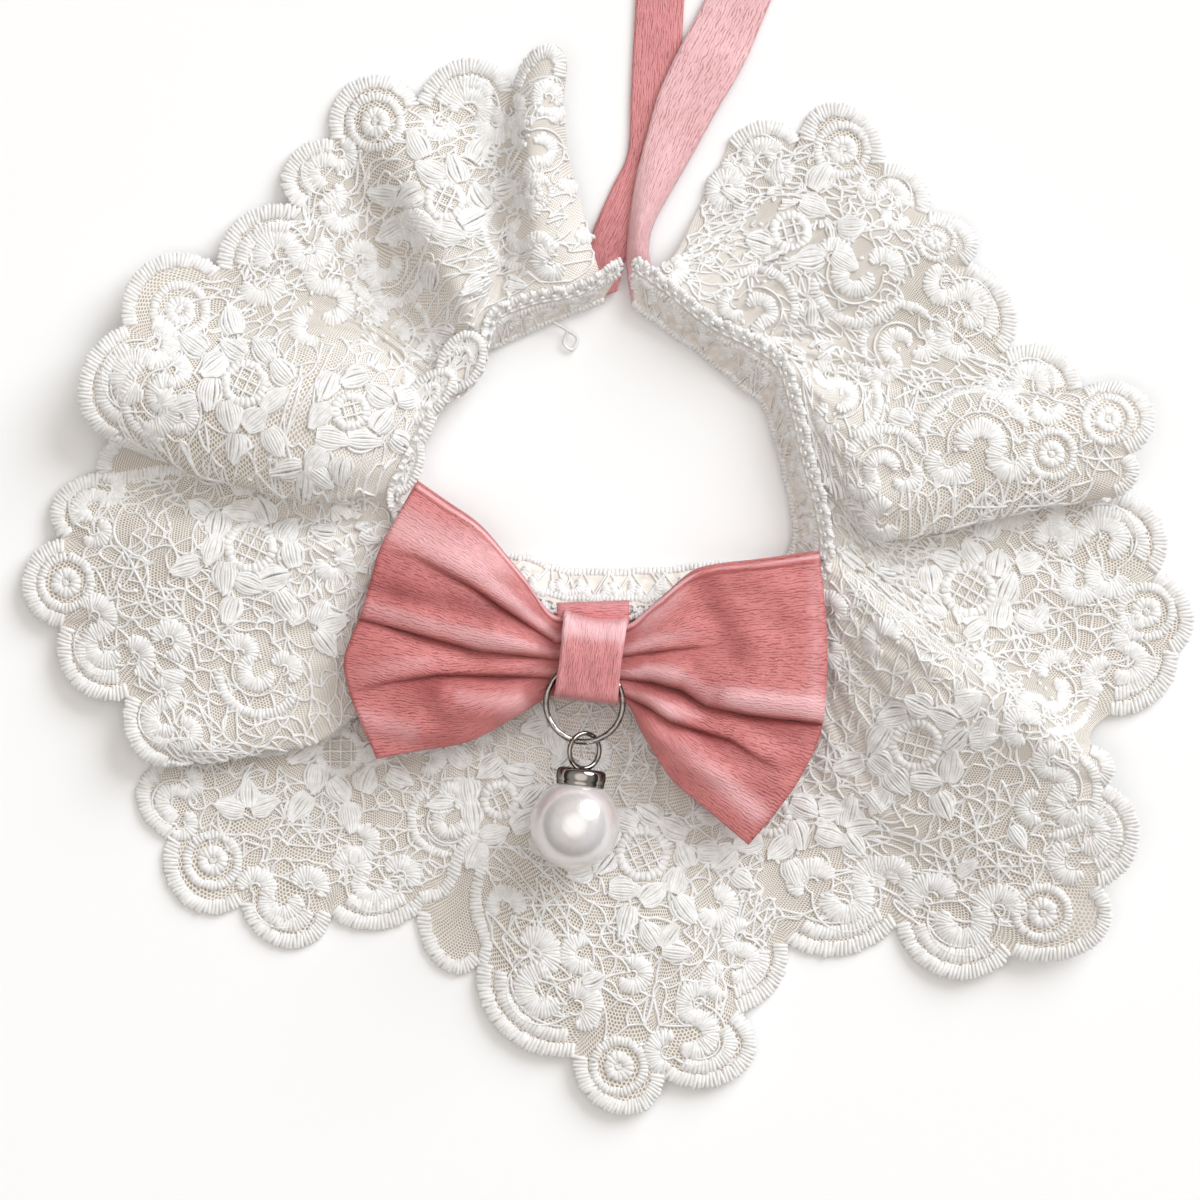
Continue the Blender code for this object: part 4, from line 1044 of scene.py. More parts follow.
def fill(taken, threads, stitches, leaves):
    """Small motifs wherever the set ones leave room, kept off the edge and the joins."""
    at = chance.uniform(0.12, LAST_SCALLOP - 0.12, FILL_TRIES)
    depth = chance.uniform(0.05, 0.95, FILL_TRIES)
    spots, _ = drape.lay(at, depth)
    folded = np.array([kind == "fold" for kind in SCALLOP_KIND])[at.astype(int)]
    blocked = in_wedge(at, depth, -0.2) | (depth > np.where(folded, FILL_FOLDS_TO, FILL_TO))
    for k in np.flatnonzero(~blocked):
        late = k >= FILL_TRIES * LATE_TRIES_FROM
        kind = chance.choice(list(FILLERS), p=[row[2 + late] for row in FILLERS.values()])
        reach, cover = FILLERS[kind][:2]
        gaps = np.linalg.norm(np.array([t[:3] for t in taken]) - spots[k], axis=1)
        if (gaps < np.array([t[3] for t in taken]) + reach).any():
            continue
        taken.append((*spots[k], reach, cover))
        if kind == "web":
            continue
        start = (at[k], depth[k])
        out = aimed(chance.uniform(0, 2 * np.pi), *np.eye(2))
        along = squared(out) * (1 if chance.random() < 0.5 else -1)
        middle = spots[k, :2]
        if kind == "hook":
            hook(middle, along, out, reach * chance.uniform(1.1, 1.3), start, stitches, threads)
        elif kind == "star":
            star(middle, reach * 1.2, start, threads)
        elif kind == "sprig":
            size = chance.uniform(4.4, 5.6), chance.uniform(2.8, 3.8)
            leaf(leaves, start, middle - out * 2.4, out, *size)
        else:
            for lean in (-1.3, -0.15, 1.1):
                way = aimed(lean + chance.normal(0, 0.15), out, along)
                size = chance.uniform(5.2, 6.8), chance.uniform(3.9, 5.0)
                leaf(leaves, start, middle - out * 2.2 + way * 0.7, way, *size)


# ---------------------------------------------------------------- how finishes are made


class Value:
    """A number that varies over a surface; sums on it add Math nodes."""

    def __init__(self, nodes, socket):
        self.nodes, self.socket = nodes, socket

    def reckon(self, operation, *values):
        made = self.nodes.node("ShaderNodeMath", {"operation": operation}, values)
        return Value(self.nodes, made.outputs[0])

    def __add__(self, other):
        return self.reckon("ADD", self, other)

    def __sub__(self, other):
        return self.reckon("SUBTRACT", self, other)

    def __rsub__(self, other):
        return self.reckon("SUBTRACT", other, self)

    def __mul__(self, other):
        return self.reckon("MULTIPLY", self, other)

    __radd__ = __add__
    __rmul__ = __mul__

    def wave(self):
        """The cosine of this many turns."""
        return self.reckon("COSINE", self * (2 * math.pi))

    def band(self, low, high):
        """0 below low, 1 above high and smooth between."""
        ends = {"Value": self, "From Min": low, "From Max": high}
        made = self.nodes.node("ShaderNodeMapRange", {"interpolation_type": "SMOOTHSTEP"}, ends)
        return Value(self.nodes, made.outputs["Result"])


class Nodes:
    """A shader tree whose nodes all come from one method."""

    def __init__(self, tree):
        self.tree = tree

    def node(self, kind, settings=None, values=()):
        made = self.tree.nodes.new(kind)
        for key, value in (settings or {}).items():
            setattr(made, key, value)
        pairs = values.items() if isinstance(values, dict) else enumerate(values)
        for key, value in pairs:
            socket = made.inputs[key]
            if isinstance(value, Value):
                value = value.socket
            if isinstance(value, bpy.types.NodeSocket):
                self.tree.links.new(value, socket)
            elif socket.type == "RGBA" and len(value) == 3:
                socket.default_value = (*value, 1.0)
            else:
                socket.default_value = value
        return made

    def place(self, cell, source="Object", turn=(0, 0, 0)):
        """Coordinates on the piece, scaled so that a pattern's cell of this size in metres is 1."""
        cell = cell if isinstance(cell, tuple) else (cell,) * 3
        coordinates = self.node("ShaderNodeTexCoord").outputs[source]
        scale = tuple(1 / size for size in cell)
        values = {"Vector": coordinates, "Scale": scale, "Rotation": turn}
        return self.node("ShaderNodeMapping", None, values).outputs["Vector"]

    def noise(self, cell, source="Object", turn=(0, 0, 0), detail=2.0):
        """Soft noise whose cells have this size."""
        place = self.place(cell, source, turn)
        values = {"Vector": place, "Scale": 1.0, "Detail": detail, "Roughness": 0.5}
        return Value(self, self.node("ShaderNodeTexNoise", None, values).outputs[0])

    def mix(self, share, first, second):
        values = {0: share, 6: first, 7: second}
        return self.node("ShaderNodeMix", {"data_type": "RGBA"}, values).outputs[2]

    def apart(self, place):
        """The three numbers of a place."""
        made = self.node("ShaderNodeSeparateXYZ", None, [place])
        return [Value(self, socket) for socket in made.outputs]


class Finish(Nodes):
    """A material on one Principled shader, with its constants set as it is made."""

    def __init__(self, name, **constants):
        self.material = bpy.data.materials.new(name)
        self.material.use_nodes = True
        super().__init__(self.material.node_tree)
        self.shader = self.tree.nodes["Principled BSDF"]
        for socket, value in constants.items():
            value = (*value, 1.0) if isinstance(value, tuple) else value
            self.shader.inputs[socket.replace("_", " ")].default_value = value

    def give(self, socket, value):
        value = value.socket if isinstance(value, Value) else value
        self.tree.links.new(value, self.shader.inputs[socket])

    def bump(self, height, strength, distance):
        values = {"Strength": strength, "Distance": distance, "Height": height}
        self.give("Normal", self.node("ShaderNodeBump", None, values).outputs["Normal"])


def thread_finish(name, light, shade):
    """Loose spun cotton or viscose thread, fuzzy close to."""
    finish = Finish(name, Roughness=0.72, Sheen_Weight=0.25, Sheen_Roughness=0.5)
    finish.give("Base Color", finish.mix(finish.noise(0.0016).band(0.3, 0.7), shade, light))
    finish.bump(finish.noise(0.00022), 0.35, 0.00008)
    return finish.material


def net_finish():
    """Fine net: round holes in hexagonal rows, on the cloth's own map in metres."""
    finish = Finish("fine_net", Roughness=0.85)
    cell, slant, across = 0.0006, 0.5774, 1.1547
    u, v, _ = finish.apart(finish.place((cell, cell, 1.0), "UV"))
    u = u + finish.noise(0.0021) * 0.9
    v = v + finish.noise(0.0024, turn=(0.4, 0.2, 1.0)) * 0.9
    rows = (v * across).wave() + (u + v * slant).wave() + (u - v * slant).wave()
    wall = 1 - rows.band(-0.9, 0.5)
    tone = finish.noise(0.004)
    # the holes are painted a warm dark beige as painted shade of the floor under the net, and stay
    # mostly opaque
    hole_shade = finish.mix(tone.band(0.35, 0.65), (0.48, 0.4, 0.315), (0.6, 0.52, 0.43))
    colour = finish.mix(wall.band(0.15, 0.85), hole_shade, (0.83, 0.79, 0.74))
    neckward = 1 - finish.apart(finish.place(1.0, "UV"))[1].band(0.012, 0.05)
    finish.give("Base Color", finish.mix(neckward * 0.7, colour, (0.92, 0.87, 0.81)))
    finish.give("Alpha", wall.band(0.2, 0.8) * 0.3 + 0.7)
    finish.bump(wall, 0.5, 0.0001)
    return finish.material


def satin_finish(name, deep, light, highlight_colour, along_u=True):
    """Ribbon satin: fine wavering threads along the ribbon, with short dark gaps between them.

    The number called fold on each cloth paints it: painted shade below 0 in creases, painted
    highlight above 0 on the lips of pleats.
    """
    tint = (1.0, 0.85, 0.85)
    finish = Finish(name, Roughness=0.42, Sheen_Weight=0.3, Sheen_Roughness=0.4, Sheen_Tint=tint)
    u, v, _ = finish.apart(finish.place(1.0, "UV"))

    def stretched(long, fine):
        return finish.noise((long, fine, 1.0) if along_u else (fine, long, 1.0), "UV")

    sway = stretched(0.0021, 0.001)
    line = ((v if along_u else u) * (1 / 0.00043) + sway * 2.2).wave()
    gap = line.band(-0.2, 0.95) * (stretched(0.0026, 0.0005).band(0.42, 0.6) * 0.8 + 0.2)
    fibre = stretched(0.0009, 0.00022)
    tone = finish.noise(0.013)
    shade = 0.86 - gap * 0.6 - tone.band(0.35, 0.7) * 0.22 + fibre.band(0.45, 0.75) * 0.3
    # fold carries painted light: painted shade where it is below 0, painted highlight where it is
    # above 0
    fold = finish.node("ShaderNodeAttribute", {"attribute_name": "fold"}).outputs["Fac"]
    fold = Value(finish, fold)
    # the colour of the painted shade in creases, then the pale colour of the painted highlight on
    # lips
    crease_shade_colour = (deep[0] * 0.95, deep[1] * 0.8, deep[2] * 0.78)
    colour = finish.mix(shade, deep, light)
    colour = finish.mix((fold * -1.0).band(0.0, 1.0) * 0.92, colour, crease_shade_colour)
    finish.give("Base Color", finish.mix(fold.band(0.0, 1.0) * 0.85, colour, highlight_colour))
    finish.bump(1 - gap + fibre * 0.5, 0.55, 0.00025)
    return finish.material


def steel_finish():
    """Polished steel with faint wear."""
    colours = {"Base_Color": (0.36, 0.338, 0.315), "Specular_Tint": (0.12, 0.1, 0.09)}
    finish = Finish("polished_steel", Metallic=1.0, **colours)
    finish.give("Roughness", finish.noise(0.002, detail=3.0) * 0.06 + 0.04)
    return finish.material


def pearl_finish():
    """Layered pearl coating: cream with a faint rose and silver play under a clear coat."""
    coat = {"Coat_Weight": 1.0, "Coat_Roughness": 0.06}
    finish = Finish("pearl_lustre", Metallic=0.3, Roughness=0.23, **coat)
    play = finish.noise(0.009).band(0.35, 0.7)
    finish.give("Base Color", finish.mix(play, (0.81, 0.77, 0.74), (0.825, 0.8, 0.81)))
    return finish.material


# ---------------------------------------------------------------- how pieces are made


def add_object(name, data):
    made = bpy.data.objects.new(name, data)
    bpy.context.scene.collection.objects.link(made)
    return made


def new_mesh(name, points, edges=(), faces=()):
    mesh = bpy.data.meshes.new(name)
    mesh.from_pydata(np.asarray(points, float).tolist(), list(edges), list(faces))
    return mesh


def set_attribute(mesh, name, values):
    """Gives every point of a mesh a number or a row of three."""
    values = np.asarray(values, np.float32)
    row = values.ndim == 2
    layer = mesh.attributes.new(name, "FLOAT_VECTOR" if row else "FLOAT", "POINT")
    layer.data.foreach_set("vector" if row else "value", values.ravel())


def to_frame(points):
    return (np.asarray(points) + SHIFT) * MM


def quads(rows, columns, closed=(False, False), first=0, turned=False):
    """Faces of a grid of points counted from first; closed says which ways it runs round."""
    faces = []
    for i in range(rows - (not closed[0])):
        for k in range(columns - (not closed[1])):
            here, there = first + i * columns, first + (i + 1) % rows * columns
            a, b, c, d = here + k, here + (k + 1) % columns, there + (k + 1) % columns, there + k
            faces.append((a, d, c, b) if turned else (a, b, c, d))
    return faces


def repeat_tree(name, inputs):
    """An empty node tree with named inputs and its two ends."""
    tree = bpy.data.node_groups.new(name, "GeometryNodeTree")
    tree.interface.new_socket("Geometry", in_out="INPUT", socket_type="NodeSocketGeometry")
    for label, kind in inputs.items():
        tree.interface.new_socket(label, in_out="INPUT", socket_type=kind)
    tree.interface.new_socket("Geometry", in_out="OUTPUT", socket_type="NodeSocketGeometry")
    return tree, tree.nodes.new("NodeGroupInput"), tree.nodes.new("NodeGroupOutput")


def joined(tree, kind, settings=None, **links):
    """A node of the tree with its settings, values and links."""
    made = tree.nodes.new(kind)
    for key, value in (settings or {}).items():
        setattr(made, key, value)
    for key, value in links.items():
        socket = made.inputs[key.replace("_", " ")]
        if isinstance(value, bpy.types.NodeSocket):
            tree.links.new(value, socket)
        else:
            socket.default_value = value
    return made


def named(tree, name, kind="FLOAT_VECTOR"):
    made = joined(tree, "GeometryNodeInputNamedAttribute", {"data_type": kind}, Name=name)
    return made.outputs[0]


def finish_tree(tree, geometry, source, end):
    """Makes the repeats real and smooth and gives them their finish."""
    real = joined(tree, "GeometryNodeRealizeInstances", Geometry=geometry)
    smooth = joined(tree, "GeometryNodeSetShadeSmooth", Geometry=real.outputs[0])
    finish = {"Geometry": smooth.outputs[0], "Material": source.outputs["Finish"]}
    tree.links.new(joined(tree, "GeometryNodeSetMaterial", **finish).outputs[0], end.inputs[0])
    return tree


def stitch_tree():
    """A plump stitch on every point, turned and sized by the point's own attributes."""
    inputs = {"Stitch": "NodeSocketObject", "Finish": "NodeSocketMaterial"}
    tree, source, end = repeat_tree("stitches", inputs)
    one = joined(tree, "GeometryNodeObjectInfo", Object=source.outputs["Stitch"])
    axes = {"primary_axis": "X", "secondary_axis": "Z"}
    ways = {"Primary_Axis": named(tree, "along"), "Secondary_Axis": named(tree, "up")}
    laid = joined(
        tree,
        "GeometryNodeInstanceOnPoints",
        Points=source.outputs["Geometry"],
        Instance=one.outputs["Geometry"],
        Rotation=joined(tree, "FunctionNodeAxesToRotation", axes, **ways).outputs[0],
        Scale=named(tree, "size"),
    )
    return finish_tree(tree, laid.outputs[0], source, end)


def thread_tree():
    """A round thread along every line of edges, as thick as its points say."""
    inputs = {"Sides": "NodeSocketInt", "Finish": "NodeSocketMaterial"}
    tree, source, end = repeat_tree("threads", inputs)
    line = joined(tree, "GeometryNodeMeshToCurve", Mesh=source.outputs["Geometry"])
    round_ring = {"Resolution": source.outputs["Sides"], "Radius": 1.0}
    tube = joined(
        tree,
        "GeometryNodeCurveToMesh",
        Curve=line.outputs[0],
        Profile_Curve=joined(tree, "GeometryNodeCurvePrimitiveCircle", **round_ring).outputs[0],
        Scale=named(tree, "thickness", "FLOAT"),
        Fill_Caps=True,
    )
    return finish_tree(tree, tube.outputs[0], source, end)


STITCHES, THREADS = stitch_tree(), thread_tree()
THREAD_SIDES = 4


def grow(name, mesh, tree, **inputs):
    """Runs a tree on a mesh of points or lines and keeps the result as a plain mesh."""
    seed = add_object(name + "_seed", mesh)
    modifier = seed.modifiers.new("grow", "NODES")
    modifier.node_group = tree
    for item in tree.interface.items_tree:
        if item.in_out == "INPUT" and item.name in inputs:
            modifier[item.identifier] = inputs[item.name]
    bpy.context.view_layer.update()
    ready = seed.evaluated_get(bpy.context.evaluated_depsgraph_get())
    made = bpy.data.meshes.new_from_object(ready)
    bpy.data.objects.remove(seed, do_unlink=True)
    made.name = name
    return add_object(name, made)


def stitch_shape():
    """One plump stitch along x, blunt at both ends, one unit long, wide and high."""
    turns = [2 * math.pi * i / 6 for i in range(6)]
    points = [
        (x, radius * math.cos(turn) * 1.06, radius * math.sin(turn) * 1.06)
        for x, radius in ((-0.5, 0.17), (-0.38, 0.45), (0.38, 0.45), (0.5, 0.17))
        for turn in turns
    ]
    faces = [tuple(range(5, -1, -1)), tuple(range(18, 24))] + quads(4, 6, (False, True))
    return add_object("one_stitch", new_mesh("one_stitch", points, faces=faces))


def sew(name, stitches, finish):
    at, along, up, size = stitches.made()
    mesh = new_mesh(name + "_points", to_frame(at))
    for label, values in (("along", along), ("up", up), ("size", size * MM)):
        set_attribute(mesh, label, values)
    shape = stitch_shape()
    piece = grow(name, mesh, STITCHES, Finish=finish, Stitch=shape)
    bpy.data.objects.remove(shape, do_unlink=True)
    return piece


def twine(name, threads, finish):
    edges, start = [], 0
    for line in threads.lines:
        edges += [(start + i, start + i + 1) for i in range(len(line) - 1)]
        start += len(line)
    mesh = new_mesh(name + "_lines", to_frame(np.vstack(threads.lines)), edges)
    set_attribute(mesh, "thickness", np.concatenate(threads.radii) * MM)
    return grow(name, mesh, THREADS, Finish=finish, Sides=THREAD_SIDES)


def skin(name, points, faces, flat, finish):
    """A smooth piece of cloth with its flat map in metres."""
    mesh = new_mesh(name, to_frame(points), faces=faces)
    mesh.update()
    mesh.shade_smooth()
    corners = np.empty(len(mesh.loops), np.int32)
    mesh.loops.foreach_get("vertex_index", corners)
    layer = mesh.uv_layers.new(name="cloth_map")
    layer.data.foreach_set("uv", (flat[corners] * MM).astype(np.float32).ravel())
    mesh.materials.append(finish)
    return add_object(name, mesh)


def arc_map(grid):
    """Distances along both ways of a grid, in mm, as its flat map."""
    u, v = np.zeros(grid.shape[:2]), np.zeros(grid.shape[:2])
    u[1:] = np.cumsum(np.linalg.norm(np.diff(grid, axis=0), axis=2).mean(1))[:, None]
    v[:, 1:] = np.cumsum(np.linalg.norm(np.diff(grid, axis=1), axis=2).mean(0))[None, :]
    return np.stack([u, v], 2).reshape(-1, 2)


def thin_wall(grid, thick, closed=False, plan=None):
    """Closed thin cloth round a grid: points, faces and the flat map of the grid or its plan."""
    n = grid_normals(grid, 1, closed)
    rows, columns = grid.shape[:2]
    low = rows * columns
    points = np.concatenate([grid + n * thick / 2, grid - n * thick / 2]).reshape(-1, 3)
    faces = quads(rows, columns, (closed, False))
    faces += quads(rows, columns, (closed, False), low, turned=True)
    for i in range(rows if closed else rows - 1):
        a, b = i * columns, (i + 1) % rows * columns
        faces.append((a, b, low + b, low + a))
        a, b = a + columns - 1, b + columns - 1
        faces.append((a, low + a, low + b, b))
    if not closed:
        for k in range(columns - 1):
            end = low - columns + k
            faces.append((k, low + k, low + k + 1, k + 1))
            faces.append((end, end + 1, low + end + 1, low + end))
    flat = arc_map(grid if plan is None else plan)
    return points, faces, np.vstack([flat, flat])


def together(walls):
    """Several walls as one."""
    points, faces, flat = [], [], []
    for more, joins, plan in walls:
        start = sum(len(part) for part in points)
        faces += [tuple(v + start for v in face) for face in joins]
        points.append(more)
        flat.append(plan)
    return np.concatenate(points), faces, np.concatenate(flat)


def settle(piece, body, slot, *nodes):
    """Says which body a piece rides and which nodes it replaces; slot is not used."""
    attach(piece, body)
    if nodes:
        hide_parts(*nodes)
    return piece


# ---------------------------------------------------------------- materials

THREAD = thread_finish("white_thread", (0.91, 0.905, 0.9), (0.8, 0.78, 0.757))
HEADING = thread_finish("lace_heading_cloth", (0.9, 0.855, 0.8), (0.78, 0.71, 0.64))
NET = net_finish()
ROSE = ((0.34, 0.075, 0.075), (0.69, 0.227, 0.22))
# a satin's last colour is its painted highlight, laid where the cloth's fold number is above 0
RIBBON = ((0.4, 0.115, 0.12), (0.8, 0.315, 0.325), (0.93, 0.56, 0.59))
PAINTED_HIGHLIGHT = (0.92, 0.52, 0.545)
SATIN_ACROSS = satin_finish("pink_satin_wings", *ROSE, PAINTED_HIGHLIGHT, along_u=False)
SATIN_ALONG = satin_finish("pink_satin_ribbon", *RIBBON)
LIGHT_SATIN = satin_finish("light_pink_satin", (0.6, 0.25, 0.27), (0.95, 0.6, 0.62), PAINTED_HIGHLIGHT)
STEEL = steel_finish()
PEARL = pearl_finish()


# ---------------------------------------------------------------- the lace

LACE_LENGTH = 700.0
# how far the net's last row is drawn back under the cord of the edge
NET_RIM = 0.4


def make_lace():
    """The ruffle: its net and all the thread work on it."""
    sizes = drape.at / LAST_SCALLOP * LACE_LENGTH, drape.depth * LACE_DEPTH
    flat = np.stack(np.meshgrid(*sizes, indexing="ij"), 2).reshape(-1, 2)
    sheet = drape.points.copy()
    sheet[:, -1] = sheet[:, -1] * (1 - NET_RIM) + sheet[:, -2] * NET_RIM
    net = skin("lace_net", sheet.reshape(-1, 3), quads(*sheet.shape[:2]), flat, NET)
    settle(net, "collar", "lace_thread", "lace_ruffle")

    cords, scrolls, borders, knots = (Stitches() for _ in range(4))
    outline, mesh, leaves, twigs, lattice = (Threads() for _ in range(5))
    edge_cords(cords, outline)
    for k in range(LAST_SCALLOP):
        if SCALLOP_KIND[k] == "scroll":
            edge_scroll(k, scrolls, outline)
        elif SCALLOP_KIND[k] == "flower":
            edge_flower(k, scrolls)
    wedge_borders(borders)
    taken = [set_motif(row, outline, borders, leaves, lattice) for row in MOTIFS]
    taken = [spot for spot in taken if spot is not None]
    fill(taken, outline, borders, twigs)
    web(taken, mesh, knots)
    sewn = [
        make(name, work, THREAD)
        for make, name, work in (
            (sew, "lace_edge_cord", cords),
            (sew, "lace_edge_scrolls", scrolls),
            (sew, "lace_inner_stitches", borders),
            (sew, "lace_knots", knots),
            (twine, "lace_outline_threads", outline),
            (twine, "lace_web", mesh),
            (twine, "lace_spray_leaves", leaves),
            (twine, "lace_field_leaves", twigs),
            (twine, "lace_lattice", lattice),
        )
    ]
    for piece in sewn:
        settle(piece, "collar", "lace_thread")


# ---------------------------------------------------------------- the neck band

BAND_CLOTH = 0.9
TAB_CLOTH = 0.4
PICOT_PITCH = 2.3
FACE_BARS = 150
TAB_BARS = 44
# the curls on the band's face: how far apart, and how high the band must be to hold one
CURL_PITCH = 5.4
CURL_NEEDS = 3.5
# the tabs of the heading that is folded outward at the left
HEADING_TABS = (
    # x, y, z, turn in degrees, half width, half length
    (-38.6, 26.4, 8.6, 68, 2.4, 5.4),
    (-37.4, 33.4, 8.8, 58, 2.7, 6.0),
    (-34.6, 40.4, 9.2, 42, 3.1, 6.6),
    (-27.6, 47.4, 9.8, 62, 3.8, 5.8),
)
# a loose thread at the open end
LOOSE_LOOP = (
    (-9.2, 55.4, 2.6),
    (-7.0, 54.2, 1.6),
    (-4.6, 52.4, 0.9),
    (-5.4, 50.0, 0.7),
    (-7.2, 51.2, 0.8),
    (-6.4, 54.0, 1.4),
)
UP = np.array([0, 0, 1.0])


def seam_cords(work, at, rows, normals):
    """Two wavering cords that cover the seam between the band and the lace."""
    top = (rows[:, :3] + neck_seam(at)) / 2
    top[:, 2] = rows[:, 2] + 0.15
    lift = unit(normals[:, -1] * 0.25 + UP)
    away = unit(rows[:, :3] - rows[:, 3:])
    sway = 0.5 * np.sin(at * 21 + 2 * np.sin(at * 5.3)) + 0.3 * np.sin(at * 47)
    work.satin(top + away * sway[:, None], lift, 1.9, 0.8, 1.2)
    work.satin(top + away * (0.9 - sway[:, None]) + lift * 0.1, lift, 1.3, 0.8, 0.9)


def face_curls(work, face, tall):
    """Curls that open up and down in turn along the band's face, and the two cords beside them."""
    last = face.at[-1]
    place, side = 1.4, 1
    while place < len(BAND) - 0.4:
        here = np.interp(place, face.at, tall)
        step = 0.3
        if here > CURL_NEEDS:
            wide = face.read(face.slope_at, np.array([place]), np.array([0.5]))[0]
            wide = np.linalg.norm(wide)
            turn = np.radians(np.linspace(-40, 215, 26)) * side + (np.pi if side < 0 else 0)
            radius = min(2.2, here * 0.24)
            curl = place + np.cos(turn) * radius / wide
            up = 0.52 + 0.06 * side + np.sin(turn) * radius / here
            work.satin(*face.lay(np.clip(curl, 1, last), up), 1.9, 0.85, 0.9, taper=0.15)
            step = CURL_PITCH / wide
        place += step
        side = -side
    for depth in (0.8, 0.05):
        work.satin(*face.lay(face.at, depth + 0.02 * np.sin(face.at * 7)), 1.5, 0.85, 0.9)


def picots(fine, face, rows):
    """The looped thread along the band's top edge."""
    far = np.linalg.norm(np.diff(rows[:, :3], axis=0), axis=1)
    far = np.concatenate([[0], np.cumsum(far)])
    wave = np.linspace(0, 2 * np.pi * far[-1] / PICOT_PITCH, 1500)
    at = np.interp(wave / (2 * np.pi) * PICOT_PITCH + 0.75 * np.sin(wave), far, face.at)
    points, up = face.lay(at, np.ones_like(at))
    tall = rows[:, :3] - rows[:, 3:]
    edge = unit(np.stack([np.interp(at, face.at, tall[:, i]) for i in range(3)], 1))
    fine.line(points + edge * (0.5 - 0.75 * np.cos(wave))[:, None] + up * 0.1, 0.3)


def heading_tab(work, fine, x, y, z, turn, wide, tall):
    """One folded tab: a corded oval, threads across it and a curl within; returns its cloth."""
    turn = math.radians(turn)
    way = np.array([math.cos(turn), math.sin(turn), 0.1])
    side = np.array([way[1], -way[0], 0.2])
    angle = np.radians(np.linspace(-172, 172, 60))
    ring = round_about(np.array([x, y, z]), angle, 1.0, way * tall, side * wide)
    middle = ring.mean(0)
    lift = unit(UP + (ring - middle) * 0.04)
    work.satin(ring, lift, 1.7, 0.85, 1.0)
    cloth = middle + (ring - middle)[:, None] * np.linspace(1, 0.02, 5)[None, :, None]
    cloth[:, :, 2] -= 0.7
    for _ in range(TAB_BARS):
        a, b = chance.integers(0, len(ring), 2)
        points = np.linspace(ring[a], ring[b], 5)
        points[1:-1] += chance.normal(0, 0.35, 3)[:, None] * side - UP * 0.25
        fine.line(points, 0.3)
    inner = slice(18, 42)
    work.satin(middle + (ring[inner] - middle) * 0.45 - UP * 0.2, lift[inner], 1.3, 0.85, 0.8)
    return thin_wall(cloth, TAB_CLOTH)


def make_band():
    """The neck band: its cloth, the cords that cover the lace seam, and the work on its face."""
    at = np.linspace(1, len(BAND) - 1e-6, 420)
    rows = band_rows(at)
    height = np.linspace(0, 1, 9)
    t = height[None, :, None]
    grid = rows[:, None, 3:] * (1 - t) + rows[:, None, :3] * t
    pucker = 0.2 * np.sin(at[:, None] * 9.0 + 2 * np.sin(at[:, None] * 2.3))
    pucker = pucker * np.sin(np.pi * t[:, :, 0])
    grid = grid + grid_normals(grid, 1) * pucker[:, :, None]
    band = skin("band_cloth", *thin_wall(grid, BAND_CLOTH), HEADING)
    settle(band, "collar", "lace_heading", "neck_band")

    normals = grid_normals(grid, 1)
    face = Drape(at, height, grid + normals * 0.5)
    work, fine = Stitches(), Threads()
    seam_cords(work, at, rows, normals)
    face_curls(work, face, np.linalg.norm(rows[:, :3] - rows[:, 3:], axis=1))
    picots(fine, face, rows)
    t = np.linspace(0, 1, 5)
    for _ in range(FACE_BARS):
        place, lean = chance.uniform(1.1, at[-1] - 0.4), chance.choice([-0.3, 0.3])
        points, up = face.lay(np.clip(place + lean * t, 1, at[-1]), 0.08 + 0.7 * t)
        fine.line(points + up * 0.15, 0.22)
    tabs = together([heading_tab(work, fine, *row) for row in HEADING_TABS])
    fine.line(catmull(LOOSE_LOOP, np.linspace(0, 5, 30)), 0.34)
    bound = sew("band_edge_stitches", work, THREAD)
    threads = twine("band_face_threads", fine, THREAD)
    backing = skin("heading_tab_cloth", *tabs, HEADING)
    for piece in (bound, threads, backing):
        settle(piece, "collar", "lace_heading")


# ---------------------------------------------------------------- the satin

# the wings' creases from the knot outward: x, y and how far the upper pleat stands over the lower
LEFT_CREASES = (
    (
        (-8.8, -8.2, 1.8),
        (-16.0, -3.2, 2.6),
        (-25.2, 3.0, 1.8),
        (-36.0, 8.5, 0.7),
        (-47.0, 11.0, 0.0),
    ),
    ((-8.8, -11.4, 1.8), (-24.0, -9.6, 2.8), (-36.0, -6.4, 2.3), (-49.0, -3.0, 1.2)),
    (
        (-8.8, -15.2, 1.6),
        (-20.0, -14.6, 2.4),
        (-32.0, -14.4, 1.9),
        (-42.0, -16.0, 1.1),
        (-49.0, -18.0, 0.4),
    ),
)
RIGHT_CREASES = (
    ((4.6, -11.0, 1.6), (10.0, -10.0, 2.0), (15.0, -9.4, 1.3), (24.0, -9.0, 0.0)),
    (
        (4.6, -15.4, 1.8),
        (10.0, -15.8, 2.6),
        (16.4, -17.4, 3.0),
        (21.2, -20.6, 2.8),
        (30.0, -22.4, 2.6),
        (39.4, -23.6, 2.4),
        (46.0, -24.4, 2.2),
    ),
    (
        (4.0, -18.4, 1.6),
        (10.0, -21.0, 2.6),
        (14.0, -23.6, 2.8),
        (20.0, -25.6, 2.4),
        (26.0, -27.5, 1.5),
        (37.6, -35.0, 0.0),
    ),
)
